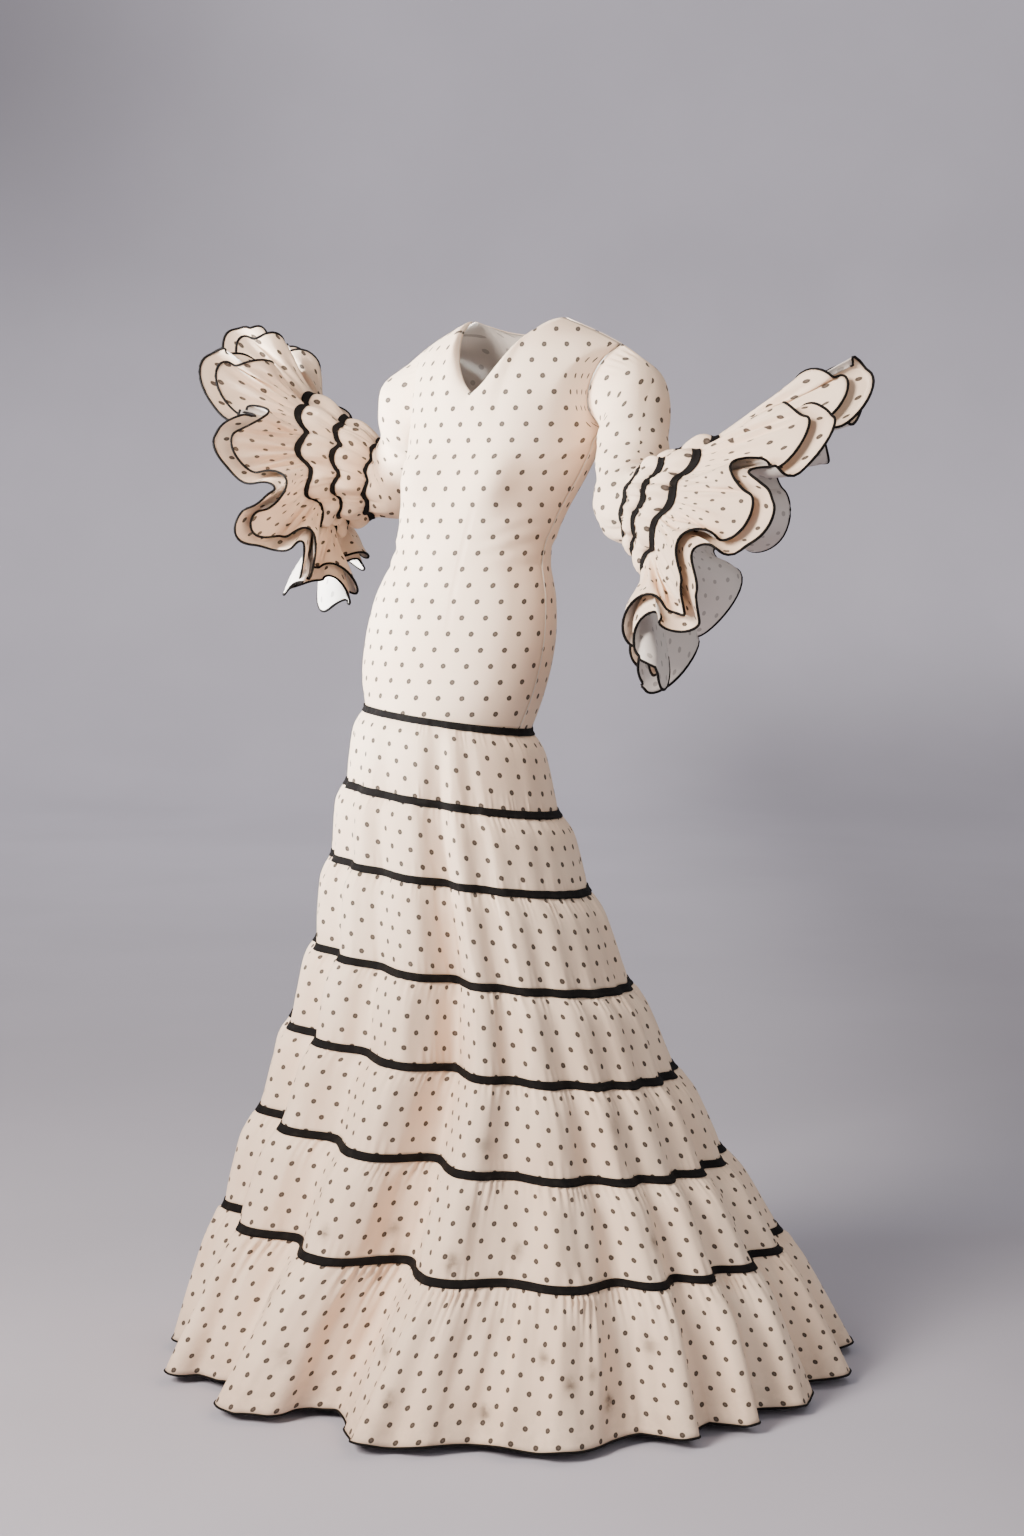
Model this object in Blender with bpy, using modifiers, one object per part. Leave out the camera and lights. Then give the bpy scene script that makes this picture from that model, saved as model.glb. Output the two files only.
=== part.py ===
"""Flamenco dress in dotted cotton, as it hangs on its wearer.

Metres, +Z up. The wearer faces -Y and has +X on the left hand. Heights in the tables are above the
floor and places are in plan from one point on it. MOUNT, the middle of the shoulder line where the
wearer holds the dress up, is moved to the origin when a mesh is made.
"""

from collections import namedtuple
from math import cos, exp, pi, radians, sin

import bpy
from mathutils import Vector

# Cloth
WALL = 0.0020
SEAM_GAP = 0.0003
TAPE_LIFT = 0.0010
EDGE_LIFT = 0.0022
TAPE_WALL = 0.0010
TAPE_WIDTH = 0.011
PIPING_WIDTH = 0.004
NORMAL_STEP = 0.004
ZIP_WIDTH = 0.010
ZIP_LENGTH = 0.46

MOUNT = Vector((0.035, 0.050, 1.450))

# Angles in plan are in degrees from the front, positive towards the wearer's left.
# The seams of the skirt drop towards DIP_ANGLE.
DIP_ANGLE = 125.0

# Rings of the skirt: each tier seam from the top down, then the hem. The widths reach the folds' ridges.
# fold is the share of each fold's full depth at this ring.
Ring = namedtuple("Ring", "height dip x y half_width half_depth fold")
SKIRT = (
    Ring(0.910, 0.140, -0.020, -0.050, 0.119, 0.108, 0.02),
    Ring(0.800, 0.145, -0.015, -0.048, 0.152, 0.144, 0.12),
    Ring(0.695, 0.135, -0.005, -0.044, 0.184, 0.174, 0.26),
    Ring(0.567, 0.135, 0.010, -0.035, 0.224, 0.220, 0.42),
    Ring(0.450, 0.130, 0.020, -0.025, 0.275, 0.272, 0.56),
    Ring(0.330, 0.110, 0.030, -0.015, 0.331, 0.328, 0.70),
    Ring(0.200, 0.060, 0.044, -0.006, 0.398, 0.392, 0.84),
    Ring(0.012, 0.000, 0.054, 0.000, 0.488, 0.492, 1.00),
)
TIER_PUFF = 0.009
PUFF_AT = 0.30

# Troughs between the skirt's hanging folds: where each lies at the hip and at the hem, and its full depth.
# A trough that is late, over 1, opens lower down than the others.
Trough = namedtuple("Trough", "at_hip at_hem depth late", defaults=(1.0,))
TROUGHS = (
    Trough(-92, -110, 0.050),
    Trough(-74, -90, 0.048),
    Trough(-52, -69, 0.060),
    Trough(-30, -50, 0.052),
    Trough(-4, -30, 0.062),
    Trough(29, -3, 0.105),
    Trough(46, 28, 0.036),
    Trough(63, 56, 0.048, 2.0),
    Trough(77, 69, 0.042, 2.4),
    Trough(90, 80, 0.042, 2.6),
    Trough(104, 98, 0.050, 2.8),
    Trough(120, 116, 0.046, 2.6),
    Trough(140, 137, 0.054, 2.0),
    Trough(161, 160, 0.050),
    Trough(183, 183, 0.058),
    Trough(206, 205, 0.050),
    Trough(232, 228, 0.054),
)
TROUGH_REACH = 0.46
TURN_HEIGHT = 0.50
COLUMNS_OF_FOLD = (0.0, 0.2, 0.5, 0.8)
COARSE_COLUMNS_OF_FOLD = (0.0, 0.5)
COARSE_SEAMS = 3

# Level rings of the body above the first skirt seam. front and back are half depths.
Girth = namedtuple("Girth", "height x y half_width front back")
BODY = (
    Girth(0.910, -0.020, -0.050, 0.119, 0.108, 0.108),
    Girth(0.955, -0.017, -0.045, 0.136, 0.104, 0.112),
    Girth(1.010, -0.012, -0.038, 0.144, 0.103, 0.116),
    Girth(1.080, -0.006, -0.029, 0.137, 0.100, 0.106),
    Girth(1.140, 0.001, -0.020, 0.119, 0.092, 0.088),
    Girth(1.200, 0.010, -0.004, 0.126, 0.100, 0.088),
    Girth(1.250, 0.018, 0.012, 0.140, 0.112, 0.094),
    Girth(1.290, 0.025, 0.026, 0.147, 0.113, 0.098),
)
DIP_OF_ROW = {0: 1.0, 1: 0.5}
CUP_ANGLE = 32.0
CUP_HEIGHT = 1.245
CUP_RISE = 0.017
CUP_HALF_ANGLE = 17.0
CUP_HALF_HEIGHT = 0.045

# Upper edges of half a bodice, from the side seam to the middle, from MOUNT in plan: up the armhole,
# along the shoulder and down the neckline. angle is where the column leaves the body's top ring.
Edge = namedtuple("Edge", "angle x y height")
FRONT_EDGE = (
    Edge(90, 0.150, -0.002, 1.318),
    Edge(80, 0.143, -0.026, 1.326),
    Edge(71, 0.139, -0.040, 1.346),
    Edge(63, 0.142, -0.039, 1.376),
    Edge(56, 0.152, -0.024, 1.408),
    Edge(49, 0.168, 0.000, 1.431),
    Edge(40, 0.137, -0.002, 1.446),
    Edge(32, 0.106, -0.004, 1.459),
    Edge(24, 0.078, -0.006, 1.470),
    Edge(18, 0.062, -0.052, 1.447),
    Edge(12, 0.042, -0.088, 1.412),
    Edge(6, 0.021, -0.108, 1.382),
    Edge(0, 0.000, -0.118, 1.362),
)
BACK_EDGE = (
    Edge(90, 0.150, 0.002, 1.318),
    Edge(100, 0.146, 0.028, 1.328),
    Edge(109, 0.143, 0.044, 1.350),
    Edge(117, 0.147, 0.043, 1.380),
    Edge(124, 0.155, 0.027, 1.410),
    Edge(131, 0.168, 0.003, 1.431),
    Edge(140, 0.137, 0.002, 1.446),
    Edge(149, 0.106, 0.001, 1.459),
    Edge(158, 0.078, 0.000, 1.470),
    Edge(164, 0.066, 0.022, 1.463),
    Edge(170, 0.046, 0.036, 1.456),
    Edge(175, 0.023, 0.044, 1.452),
    Edge(180, 0.000, 0.047, 1.451),
)
ARMHOLE_POINTS = 6
CHEST_ROWS = 4
# How far each chest column has gone, across, back and up, at the point that bends it.
BEND = (0.30, 0.25, 0.95)
PANEL_GAP = 0.0007
ARMHOLE_GAP = {1: 0.0015, -1: 0.0020}

# Rings of each sleeve, from the shoulder to the flounce's edge: centre, the way the ring faces, and its
# half sizes upwards and sideways. wave is the height of the gathers there. sag is how far the front hangs
# below the ring's middle, and the back stands above it.
Cuff = namedtuple("Cuff", "x y z face_x face_y face_z high wide wave sag", defaults=(0.0,))
LEFT_SLEEVE = (
    Cuff(0.226, 0.044, 1.346, 0.80, -0.15, -0.52, 0.059, 0.055, 0.0),
    Cuff(0.246, 0.012, 1.300, 0.42, -0.36, -0.83, 0.051, 0.050, 0.0),
    Cuff(0.264, -0.018, 1.254, 0.42, -0.40, -0.80, 0.049, 0.049, 0.0),
    Cuff(0.282, -0.050, 1.214, 0.74, -0.28, -0.42, 0.054, 0.054, 0.0),
)
LEFT_CUFFS = (
    Cuff(0.322, -0.076, 1.208, 0.93, 0.00, -0.16, 0.055, 0.054, 0.003),
    Cuff(0.347, -0.073, 1.206, 0.90, 0.08, -0.28, 0.072, 0.070, 0.006, 0.003),
    Cuff(0.373, -0.065, 1.201, 0.86, 0.22, -0.40, 0.096, 0.093, 0.008, 0.006),
    Cuff(0.440, -0.046, 1.184, 0.79, 0.28, -0.56, 0.204, 0.196, 0.022, 0.026),
)
RIGHT_SLEEVE = (
    Cuff(-0.164, 0.062, 1.344, -0.80, 0.20, -0.52, 0.058, 0.055, 0.0),
    Cuff(-0.180, 0.088, 1.306, -0.55, 0.40, -0.73, 0.051, 0.050, 0.0),
    Cuff(-0.212, 0.112, 1.272, -0.56, 0.36, -0.72, 0.048, 0.048, 0.0),
    Cuff(-0.244, 0.130, 1.245, -0.84, -0.05, -0.22, 0.053, 0.054, 0.0),
)
RIGHT_CUFFS = (
    Cuff(-0.283, 0.130, 1.248, -0.88, -0.36, 0.14, 0.055, 0.054, 0.003),
    Cuff(-0.320, 0.105, 1.262, -0.86, -0.38, 0.00, 0.072, 0.071, 0.006),
    Cuff(-0.349, 0.085, 1.272, -0.88, -0.36, -0.18, 0.096, 0.093, 0.008, 0.006),
    Cuff(-0.374, 0.062, 1.270, -0.90, -0.30, -0.34, 0.182, 0.174, 0.022, 0.024),
)
RUFFLE_WAVES = 10
COLUMNS_OF_WAVE = 4
SLEEVE_COLUMNS = 20
WAVE_TILT = 0.7
WAVE_DRIFT = 0.8
CUFF_PUFF = 0.008
# Shares of a cuff's length: the three rows of a tier, and where the flounce's two layers begin and end.
TIER_ROWS = (0.004, 0.5, 0.985)
OUTER_ROWS = (0.006, 1.0)
INNER_ROWS = (0.02, 1.18)
INNER_DROP = 0.012

# Material slots: name, colour and roughness
COTTON = ("dotted_cotton", (0.80, 0.72, 0.64), 0.85)
TAPE = ("black_tape", (0.012, 0.010, 0.010), 0.70)
ZIP = ("zip_tape", (0.78, 0.71, 0.64), 0.60)


def mix(a, b, share):
    return a + (b - a) * share


def mix_rows(first, second, share):
    """A row of the same table, part of the way from one to the other."""
    return type(first)(*(mix(a, b, share) for a, b in zip(first, second)))


def heading(degrees):
    """The level direction at this angle from the front."""
    return Vector((sin(radians(degrees)), -cos(radians(degrees)), 0.0))


def normal_at(surface, around, along):
    """The outward direction of a surface that runs anticlockwise seen from above, top to bottom."""
    across = surface(around + NORMAL_STEP, along) - surface(around - NORMAL_STEP, along)
    down = surface(around, along + NORMAL_STEP) - surface(around, along - NORMAL_STEP)
    return down.cross(across).normalized()


# Skirt


def trough_angle(index, height):
    turns, place = divmod(index, len(TROUGHS))
    trough = TROUGHS[place]
    return mix(trough.at_hem, trough.at_hip, min(height / TURN_HEIGHT, 1.0)) + 360 * turns


def trough_depth(index, ring):
    trough = TROUGHS[index % len(TROUGHS)]
    return trough.depth * ring.fold**trough.late


def trough_shape(distance):
    """1 in the trough, 0 from TROUGH_REACH of the fold's width on."""
    return cos(min(distance / TROUGH_REACH, 1.0) * pi / 2) ** 2


def ring_point(ring, around):
    """A point of a skirt ring; around counts the folds from the first trough."""
    fold = int(around // 1)
    share = around - fold
    angle = mix(trough_angle(fold, ring.height), trough_angle(fold + 1, ring.height), share)
    out = heading(angle)
    reach = 1.0 / ((out.x / ring.half_width) ** 2 + (out.y / ring.half_depth) ** 2) ** 0.5
    reach -= trough_depth(fold, ring) * trough_shape(share)
    reach -= trough_depth(fold + 1, ring) * trough_shape(1 - share)
    drop = ring.dip * reach * out.dot(heading(DIP_ANGLE))
    return Vector((ring.x, ring.y, ring.height - drop)) + out * reach


def tier_surface(tier):
    """The cloth between seam number tier and the next ring, along from 0 at the top to 1."""

    def point(around, along):
        place = mix(ring_point(SKIRT[tier], around), ring_point(SKIRT[tier + 1], around), along)
        middle = mix_rows(SKIRT[tier], SKIRT[tier + 1], min(max(along, 0.0), 1.0))
        out = place - Vector((middle.x, middle.y, place.z))
        puff = min(along / PUFF_AT, (1 - along) / (1 - PUFF_AT))
        return place + out.normalized() * TIER_PUFF * puff

    return point


def fold_columns(columns):
    return [fold + share for fold in range(len(TROUGHS)) for share in columns]


def seam_columns(seam):
    """The upper seams have few folds, so they have half the columns."""
    return fold_columns(COARSE_COLUMNS_OF_FOLD if seam < COARSE_SEAMS else COLUMNS_OF_FOLD)


def tier_length(tier):
    return SKIRT[tier].height - SKIRT[tier + 1].height


def make_skirt():
    last = len(SKIRT) - 2
    for tier in range(last + 1):
        surface = tier_surface(tier)
        gap = SEAM_GAP / 2 / tier_length(tier)
        columns = seam_columns(tier)
        below = seam_columns(tier + 1)
        shares = ((gap, columns), (PUFF_AT, below), (1 - gap, below))
        rows = [[surface(around, along) for around in each] for along, each in shares]
        make_cloth(f"skirt_tier_{tier + 1}", rows, WALL, COTTON)
        if tier:
            make_skirt_tape(tier, tier_surface(tier - 1), surface, columns)
    make_skirt_tape(0, hip_surface, tier_surface(0), seam_columns(0))
    make_piping(tier_surface(last), last)


def make_skirt_tape(tier, upper, lower, columns):
    """A tape over the seam: its top edge lies on the cloth above, and its bottom edge on the cloth below."""
    half = TAPE_WIDTH / 2
    length = tier_length(tier - 1) if tier else BODY[1].height - BODY[0].height
    above = 1 - half / length
    below = half / tier_length(tier)
    lift = TAPE_LIFT + TAPE_WALL
    rise = lift if tier else lift + EDGE_LIFT
    top = [upper(around, above) + normal_at(upper, around, above) * rise for around in columns]
    bottom = [lower(around, below) + normal_at(lower, around, below) * lift for around in columns]
    make_cloth(f"skirt_tape_{tier + 1}", [top, bottom], TAPE_WALL, TAPE)


def make_piping(surface, tier):
    lift = TAPE_LIFT + TAPE_WALL
    columns = fold_columns(COLUMNS_OF_FOLD)
    rows = []
    for along in (1 - PIPING_WIDTH / tier_length(tier), 1.0):
        rows.append([surface(around, along) + normal_at(surface, around, along) * lift for around in columns])
    make_cloth("hem_piping", rows, TAPE_WALL, TAPE)


# Body


def body_girth(height):
    for low, high in zip(BODY, BODY[1:]):
        if height <= high.height:
            return mix_rows(low, high, (height - low.height) / (high.height - low.height))
    return BODY[-1]


def body_point(angle, height):
    """A point of the body's cloth below the armholes."""
    girth = body_girth(height)
    out = heading(angle)
    depth = girth.front if out.y < 0 else girth.back
    reach = 1.0 / ((out.x / girth.half_width) ** 2 + (out.y / depth) ** 2) ** 0.5
    for cup in (-CUP_ANGLE, CUP_ANGLE):
        off = ((angle - cup) / CUP_HALF_ANGLE) ** 2 + ((height - CUP_HEIGHT) / CUP_HALF_HEIGHT) ** 2
        reach += CUP_RISE * exp(-off)
    return Vector((girth.x, girth.y, height)) + out * reach


def dipped(angle, row):
    """A point of one of the body's rings. The lowest ones slope with the skirt's first seam."""
    first = SKIRT[0]
    point = body_point(angle, BODY[row].height)
    reach = (point - Vector((first.x, first.y, 0))).dot(heading(DIP_ANGLE))
    point.z -= first.dip * reach * DIP_OF_ROW.get(row, 0.0)
    return point


def hip_surface(around, along):
    """The body's cloth just above the skirt, along from its second ring to the seam."""
    fold = int(around // 1)
    height = SKIRT[0].height
    angle = mix(trough_angle(fold, height), trough_angle(fold + 1, height), around - fold)
    return mix(dipped(angle, 1), dipped(angle, 0), along)


def bodice_column(edge, side):
    """Points of one column, from the first skirt seam to the bodice's upper edge."""
    angle = edge.angle * side
    column = [dipped(angle, row) for row in range(len(BODY))]
    column[0].z += SEAM_GAP
    start = column[-1]
    end = Vector((MOUNT.x + edge.x * side, MOUNT.y + edge.y, edge.height))
    bend = Vector([mix(a, b, share) for a, b, share in zip(start, end, BEND)])
    for row in range(1, CHEST_ROWS + 1):
        share = row / CHEST_ROWS
        column.append(mix(mix(start, bend, share), mix(bend, end, share), share))
    return column


def slide(column, direction, distance):
    return [point + direction * distance for point in column]


def make_bodice():
    left = [bodice_column(edge, 1) for edge in FRONT_EDGE]
    right = [bodice_column(edge, -1) for edge in FRONT_EDGE]
    columns = left + right[-2::-1]
    columns = [slide(column, Vector((0, -1, 0)), PANEL_GAP) for column in columns]
    make_panel("bodice_front", columns)
    for name, side in (("bodice_back_left", 1), ("bodice_back_right", -1)):
        columns = [bodice_column(edge, side) for edge in BACK_EDGE]
        columns = [slide(column, Vector((0, 1, 0)), PANEL_GAP) for column in columns]
        columns[-1] = slide(columns[-1], Vector((side, 0, 0)), SEAM_GAP)
        make_panel(name, columns if side < 0 else columns[::-1])
    make_zip()


def make_panel(name, columns):
    """A panel of the bodice from columns that run clockwise seen from above, each from the bottom up."""
    rows = [list(row)[::-1] for row in zip(*columns)][::-1]
    make_cloth(name, rows, WALL, COTTON, closed=False)


def make_zip():
    """The closed zip's tape, over the seam of the two backs."""
    middle = bodice_column(BACK_EDGE[-1], 1)
    top = middle[-1].z
    line = [point for point in middle if point.z > top - ZIP_LENGTH]
    out = Vector((0, 2 * TAPE_LIFT + TAPE_WALL, 0))
    side = Vector((ZIP_WIDTH / 2, 0, 0))
    rows = [[point + out + side, point + out - side] for point in line[::-1]]
    make_cloth("back_zip", rows, TAPE_WALL, ZIP, closed=False)


# Sleeves


def armhole(side):
    """The armhole's edge: from the shoulder down the front, then up the back, without its last point."""
    front = [bodice_column(edge, side)[-1] for edge in FRONT_EDGE[ARMHOLE_POINTS - 1 :: -1]]
    back = [bodice_column(edge, side)[-1] for edge in BACK_EDGE[:ARMHOLE_POINTS]]
    return front + back


def along_loop(points, share):
    """The point at a share of the way round a closed line, by count of its points."""
    place = share * len(points)
    first = int(place) % len(points)
    return mix(points[first], points[(first + 1) % len(points)], place - int(place))


def cuff_point(cuff, side, share):
    """A point of a sleeve ring, a share of the way round from its top by the front."""
    face = Vector((cuff.face_x, cuff.face_y, cuff.face_z)).normalized()
    up = (Vector((0, 0, 1)) - face * face.z).normalized()
    front = face.cross(up) * side
    turn = 2 * pi * share
    wave = RUFFLE_WAVES * turn
    out = up * cos(turn) + front * sin(turn)
    place = up * cuff.high * cos(turn) + front * cuff.wide * sin(turn)
    place += out * cuff.wave * cos(wave)
    place += face * cuff.wave * WAVE_TILT * sin(wave + WAVE_DRIFT * sin(turn))
    place.z -= cuff.sag * sin(turn)
    return Vector((cuff.x, cuff.y, cuff.z)) + place


def cuff_surface(upper, lower, side, puff):
    """The cloth between two sleeve rings."""

    def point(share, along):
        place = mix(cuff_point(upper, side, share), cuff_point(lower, side, share), along)
        cuff = mix_rows(upper, lower, along)
        out = (place - Vector((cuff.x, cuff.y, cuff.z))).normalized()
        return place + out * puff * (1 - abs(2 * along - 1))

    return point


def ruffle_columns():
    count = RUFFLE_WAVES * COLUMNS_OF_WAVE
    return [step / count for step in range(count)]


def ordered(rows, side):
    """Rows of a sleeve in the order that faces them out, on either arm."""
    return [row[::-side] for row in rows]


def make_sleeve(name, side, rings, cuffs):
    shares = [step / SLEEVE_COLUMNS for step in range(SLEEVE_COLUMNS)]
    loop = armhole(side)
    start = [along_loop(loop, share) + Vector((side * ARMHOLE_GAP[side], 0, 0)) for share in shares]
    rows = [start]
    rows += [[cuff_point(ring, side, share) for share in shares] for ring in rings]
    end = cuffs[0]
    seam = [cuff_point(end, side, share) for share in ruffle_columns()]
    face = Vector((end.face_x, end.face_y, end.face_z)).normalized()
    rows.append([point - face * SEAM_GAP for point in seam])
    make_cloth(name, ordered(rows, side), WALL, COTTON)
    make_cuffs(name, side, rings[-1], cuffs)


def make_cuffs(name, side, last_ring, cuffs):
    columns = ruffle_columns()
    surfaces = [cuff_surface(a, b, side, CUFF_PUFF) for a, b in zip(cuffs[:-2], cuffs[1:-1])]
    flounce = cuff_surface(cuffs[-2], cuffs[-1], side, 0.0)
    for number, surface in enumerate(surfaces, 1):
        rows = [[surface(share, along) for share in columns] for along in TIER_ROWS]
        make_cloth(f"{name}_tier_{number}", ordered(rows, side), WALL, COTTON)
    rows = [[flounce(share, along) for share in columns] for along in OUTER_ROWS]
    make_cloth(f"{name}_flounce_outer", ordered(rows, side), WALL, COTTON)
    rows = []
    for along in INNER_ROWS:
        depth = mix(WALL + 2 * SEAM_GAP, INNER_DROP, along)
        row = [flounce(share, along) - outward(flounce, share, along, side) * depth for share in columns]
        rows.append(row)
    make_cloth(f"{name}_flounce_inner", ordered(rows, side), WALL, COTTON)
    above = [cuff_surface(last_ring, cuffs[0], side, 0.0)] + surfaces
    below = surfaces + [flounce]
    for number, (upper, lower) in enumerate(zip(above, below), 1):
        rise = EDGE_LIFT if number == 1 else 0.0
        make_sleeve_tape(f"{name}_tape_{number}", upper, lower, side, rise)


def outward(surface, share, along, side):
    return normal_at(surface, share, along) * -side


def make_sleeve_tape(name, upper, lower, side, rise):
    lift = TAPE_LIFT + TAPE_WALL
    half = TAPE_WIDTH / 2
    top = []
    bottom = []
    for share in ruffle_columns():
        above = 1 - half / (upper(share, 1) - upper(share, 0)).length
        below = half / (lower(share, 1) - lower(share, 0)).length
        top.append(upper(share, above) + outward(upper, share, above, side) * (lift + rise))
        bottom.append(lower(share, below) + outward(lower, share, below, side) * lift)
    make_cloth(name, ordered([top, bottom], side), TAPE_WALL, TAPE)


# Meshes


def material(name, colour, roughness):
    made = bpy.data.materials.get(name)
    if made is None:
        made = bpy.data.materials.new(name)
        made.use_nodes = True
        shader = made.node_tree.nodes["Principled BSDF"]
        shader.inputs["Base Color"].default_value = (*colour, 1.0)
        shader.inputs["Roughness"].default_value = roughness
        shader.inputs["Metallic"].default_value = 0.0
    return made


def strip_faces(upper, lower, closed):
    """Faces between two rows of point numbers; the lower may have twice the points of the upper."""
    count = len(upper)
    ratio = len(lower) // count if closed else 1
    faces = []
    for step in range(count if closed else count - 1):
        a = upper[step]
        b = upper[(step + 1) % count]
        c = lower[(step * ratio) % len(lower)]
        d = lower[(step * ratio + ratio) % len(lower)]
        if ratio == 1:
            faces.append((a, c, d, b))
        else:
            middle = lower[step * ratio + 1]
            faces += [(a, c, middle), (a, middle, b), (b, middle, d)]
    return faces


def make_cloth(name, rows, wall, look, closed=True):
    """A wall of cloth whose outer face runs through rows of points, from the top row down."""
    numbers = []
    points = []
    for row in rows:
        numbers.append(range(len(points), len(points) + len(row)))
        points += [point - MOUNT for point in row]
    faces = []
    for upper, lower in zip(numbers, numbers[1:]):
        faces += strip_faces(upper, lower, closed)
    mesh = bpy.data.meshes.new(name)
    mesh.from_pydata(points, [], faces)
    mesh.shade_smooth()
    mesh.materials.append(material(*look))
    thing = bpy.data.objects.new(name, mesh)
    dress.objects.link(thing)
    shell = thing.modifiers.new("wall", "SOLIDIFY")
    shell.thickness = wall
    shell.offset = -1.0
    return thing


def clear_scene():
    for thing in list(bpy.data.objects):
        bpy.data.objects.remove(thing)


clear_scene()
dress = bpy.data.collections.new("flamenco_dress")
bpy.context.scene.collection.children.link(dress)
make_skirt()
make_bodice()
make_sleeve("sleeve_left", 1, LEFT_SLEEVE, LEFT_CUFFS)
make_sleeve("sleeve_right", -1, RIGHT_SLEEVE, RIGHT_CUFFS)
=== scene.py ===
"""The looks of the flamenco dress: gathered dotted cotton, black tapes, bound flounces and stains.

Metres. Tables give heights above the floor and places in plan, and MOUNT is taken off when a mesh is made.
"""

from collections import namedtuple
from math import pi, tau

import bpy
import numpy as np
from mathutils import Matrix, Vector


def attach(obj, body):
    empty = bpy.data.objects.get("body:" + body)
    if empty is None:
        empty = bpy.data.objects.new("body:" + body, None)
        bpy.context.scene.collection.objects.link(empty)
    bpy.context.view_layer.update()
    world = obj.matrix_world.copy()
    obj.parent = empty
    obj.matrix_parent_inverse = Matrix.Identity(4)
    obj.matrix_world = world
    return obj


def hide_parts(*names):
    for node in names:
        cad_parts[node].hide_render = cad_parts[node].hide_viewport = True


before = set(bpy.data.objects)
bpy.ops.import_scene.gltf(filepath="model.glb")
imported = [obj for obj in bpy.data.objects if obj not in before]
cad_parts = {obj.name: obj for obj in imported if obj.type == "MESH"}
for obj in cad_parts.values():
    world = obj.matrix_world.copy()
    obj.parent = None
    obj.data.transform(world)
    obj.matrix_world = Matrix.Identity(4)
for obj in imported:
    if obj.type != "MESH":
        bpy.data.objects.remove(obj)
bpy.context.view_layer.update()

MOUNT = np.array([0.035, 0.050, 1.450])
CLOTH = 0.0008
TAPE_WIDTH = 0.0105
TAPE_WALL = 0.0009
DIP_ANGLE = 125.0

Ring = namedtuple("Ring", "height dip x y half_width half_depth fold")
SKIRT = (
    Ring(0.910, 0.140, -0.020, -0.050, 0.119, 0.108, 0.02),
    Ring(0.800, 0.145, -0.015, -0.048, 0.152, 0.144, 0.12),
    Ring(0.695, 0.135, -0.005, -0.044, 0.184, 0.174, 0.26),
    Ring(0.567, 0.135, 0.010, -0.035, 0.224, 0.220, 0.42),
    Ring(0.450, 0.130, 0.020, -0.025, 0.275, 0.272, 0.56),
    Ring(0.330, 0.110, 0.030, -0.015, 0.331, 0.328, 0.70),
    Ring(0.200, 0.060, 0.044, -0.006, 0.398, 0.392, 0.84),
    Ring(0.012, 0.000, 0.054, 0.000, 0.488, 0.492, 1.00),
)
Trough = namedtuple("Trough", "at_hip at_hem depth late", defaults=(1.0,))
TROUGHS = (
    Trough(-92, -110, 0.050),
    Trough(-74, -90, 0.048),
    Trough(-52, -69, 0.060),
    Trough(-30, -50, 0.052),
    Trough(-4, -30, 0.062),
    Trough(29, -3, 0.105),
    Trough(46, 28, 0.036),
    Trough(63, 56, 0.048, 2.0),
    Trough(77, 69, 0.042, 2.4),
    Trough(90, 80, 0.042, 2.6),
    Trough(104, 98, 0.050, 2.8),
    Trough(120, 116, 0.046, 2.6),
    Trough(140, 137, 0.054, 2.0),
    Trough(161, 160, 0.050),
    Trough(183, 183, 0.058),
    Trough(206, 205, 0.050),
    Trough(232, 228, 0.054),
)
TROUGH_REACH = 0.46
TURN_HEIGHT = 0.50
FOLDS = len(TROUGHS)

# How finely each tier is made, and its gathers: how far down the puckers reach and how high they stand.
Tier = namedtuple("Tier", "columns rows pucker_pitch pucker_reach pucker_height roll_height")
TIERS = (
    Tier(480, 16, 0.013, 0.09, 0.0011, 0.0012),
    Tier(540, 16, 0.013, 0.09, 0.0016, 0.0018),
    Tier(600, 16, 0.014, 0.10, 0.0020, 0.0022),
    Tier(680, 16, 0.014, 0.10, 0.0023, 0.0027),
    Tier(780, 16, 0.014, 0.11, 0.0026, 0.0031),
    Tier(900, 18, 0.014, 0.12, 0.0029, 0.0036),
    Tier(1140, 24, 0.015, 0.13, 0.0034, 0.0044),
)
PUFF = 0.011
PUFF_AT = 0.28
ROLL_PITCH = 0.072
ROLL_SHARE = 0.42
# Shares of a tier's height: where its puckers begin, and where the next seam draws its cloth in
PUCKERS_BEGIN = (0.020, 0.065)
NEXT_SEAM = (0.82, 0.97)
GROOVE_SHARE = 0.6
GROOVE_REACH = 0.30
SEAM_PULL = 0.0009
HEM_SWAY = 0.0030

Girth = namedtuple("Girth", "height x y half_width front back")
BODY = (
    Girth(0.910, -0.020, -0.050, 0.119, 0.108, 0.108),
    Girth(0.955, -0.017, -0.045, 0.136, 0.104, 0.112),
    Girth(1.010, -0.012, -0.038, 0.144, 0.103, 0.116),
    Girth(1.080, -0.006, -0.029, 0.137, 0.100, 0.106),
    Girth(1.140, 0.001, -0.020, 0.119, 0.092, 0.088),
    Girth(1.200, 0.010, -0.004, 0.126, 0.100, 0.088),
    Girth(1.250, 0.018, 0.012, 0.140, 0.112, 0.094),
    Girth(1.290, 0.025, 0.026, 0.147, 0.113, 0.098),
)
CUP_ANGLE = 32.0
CUP_HEIGHT = 1.245
CUP_RISE = 0.017
CUP_HALF_ANGLE = 17.0
CUP_HALF_HEIGHT = 0.045

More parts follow.
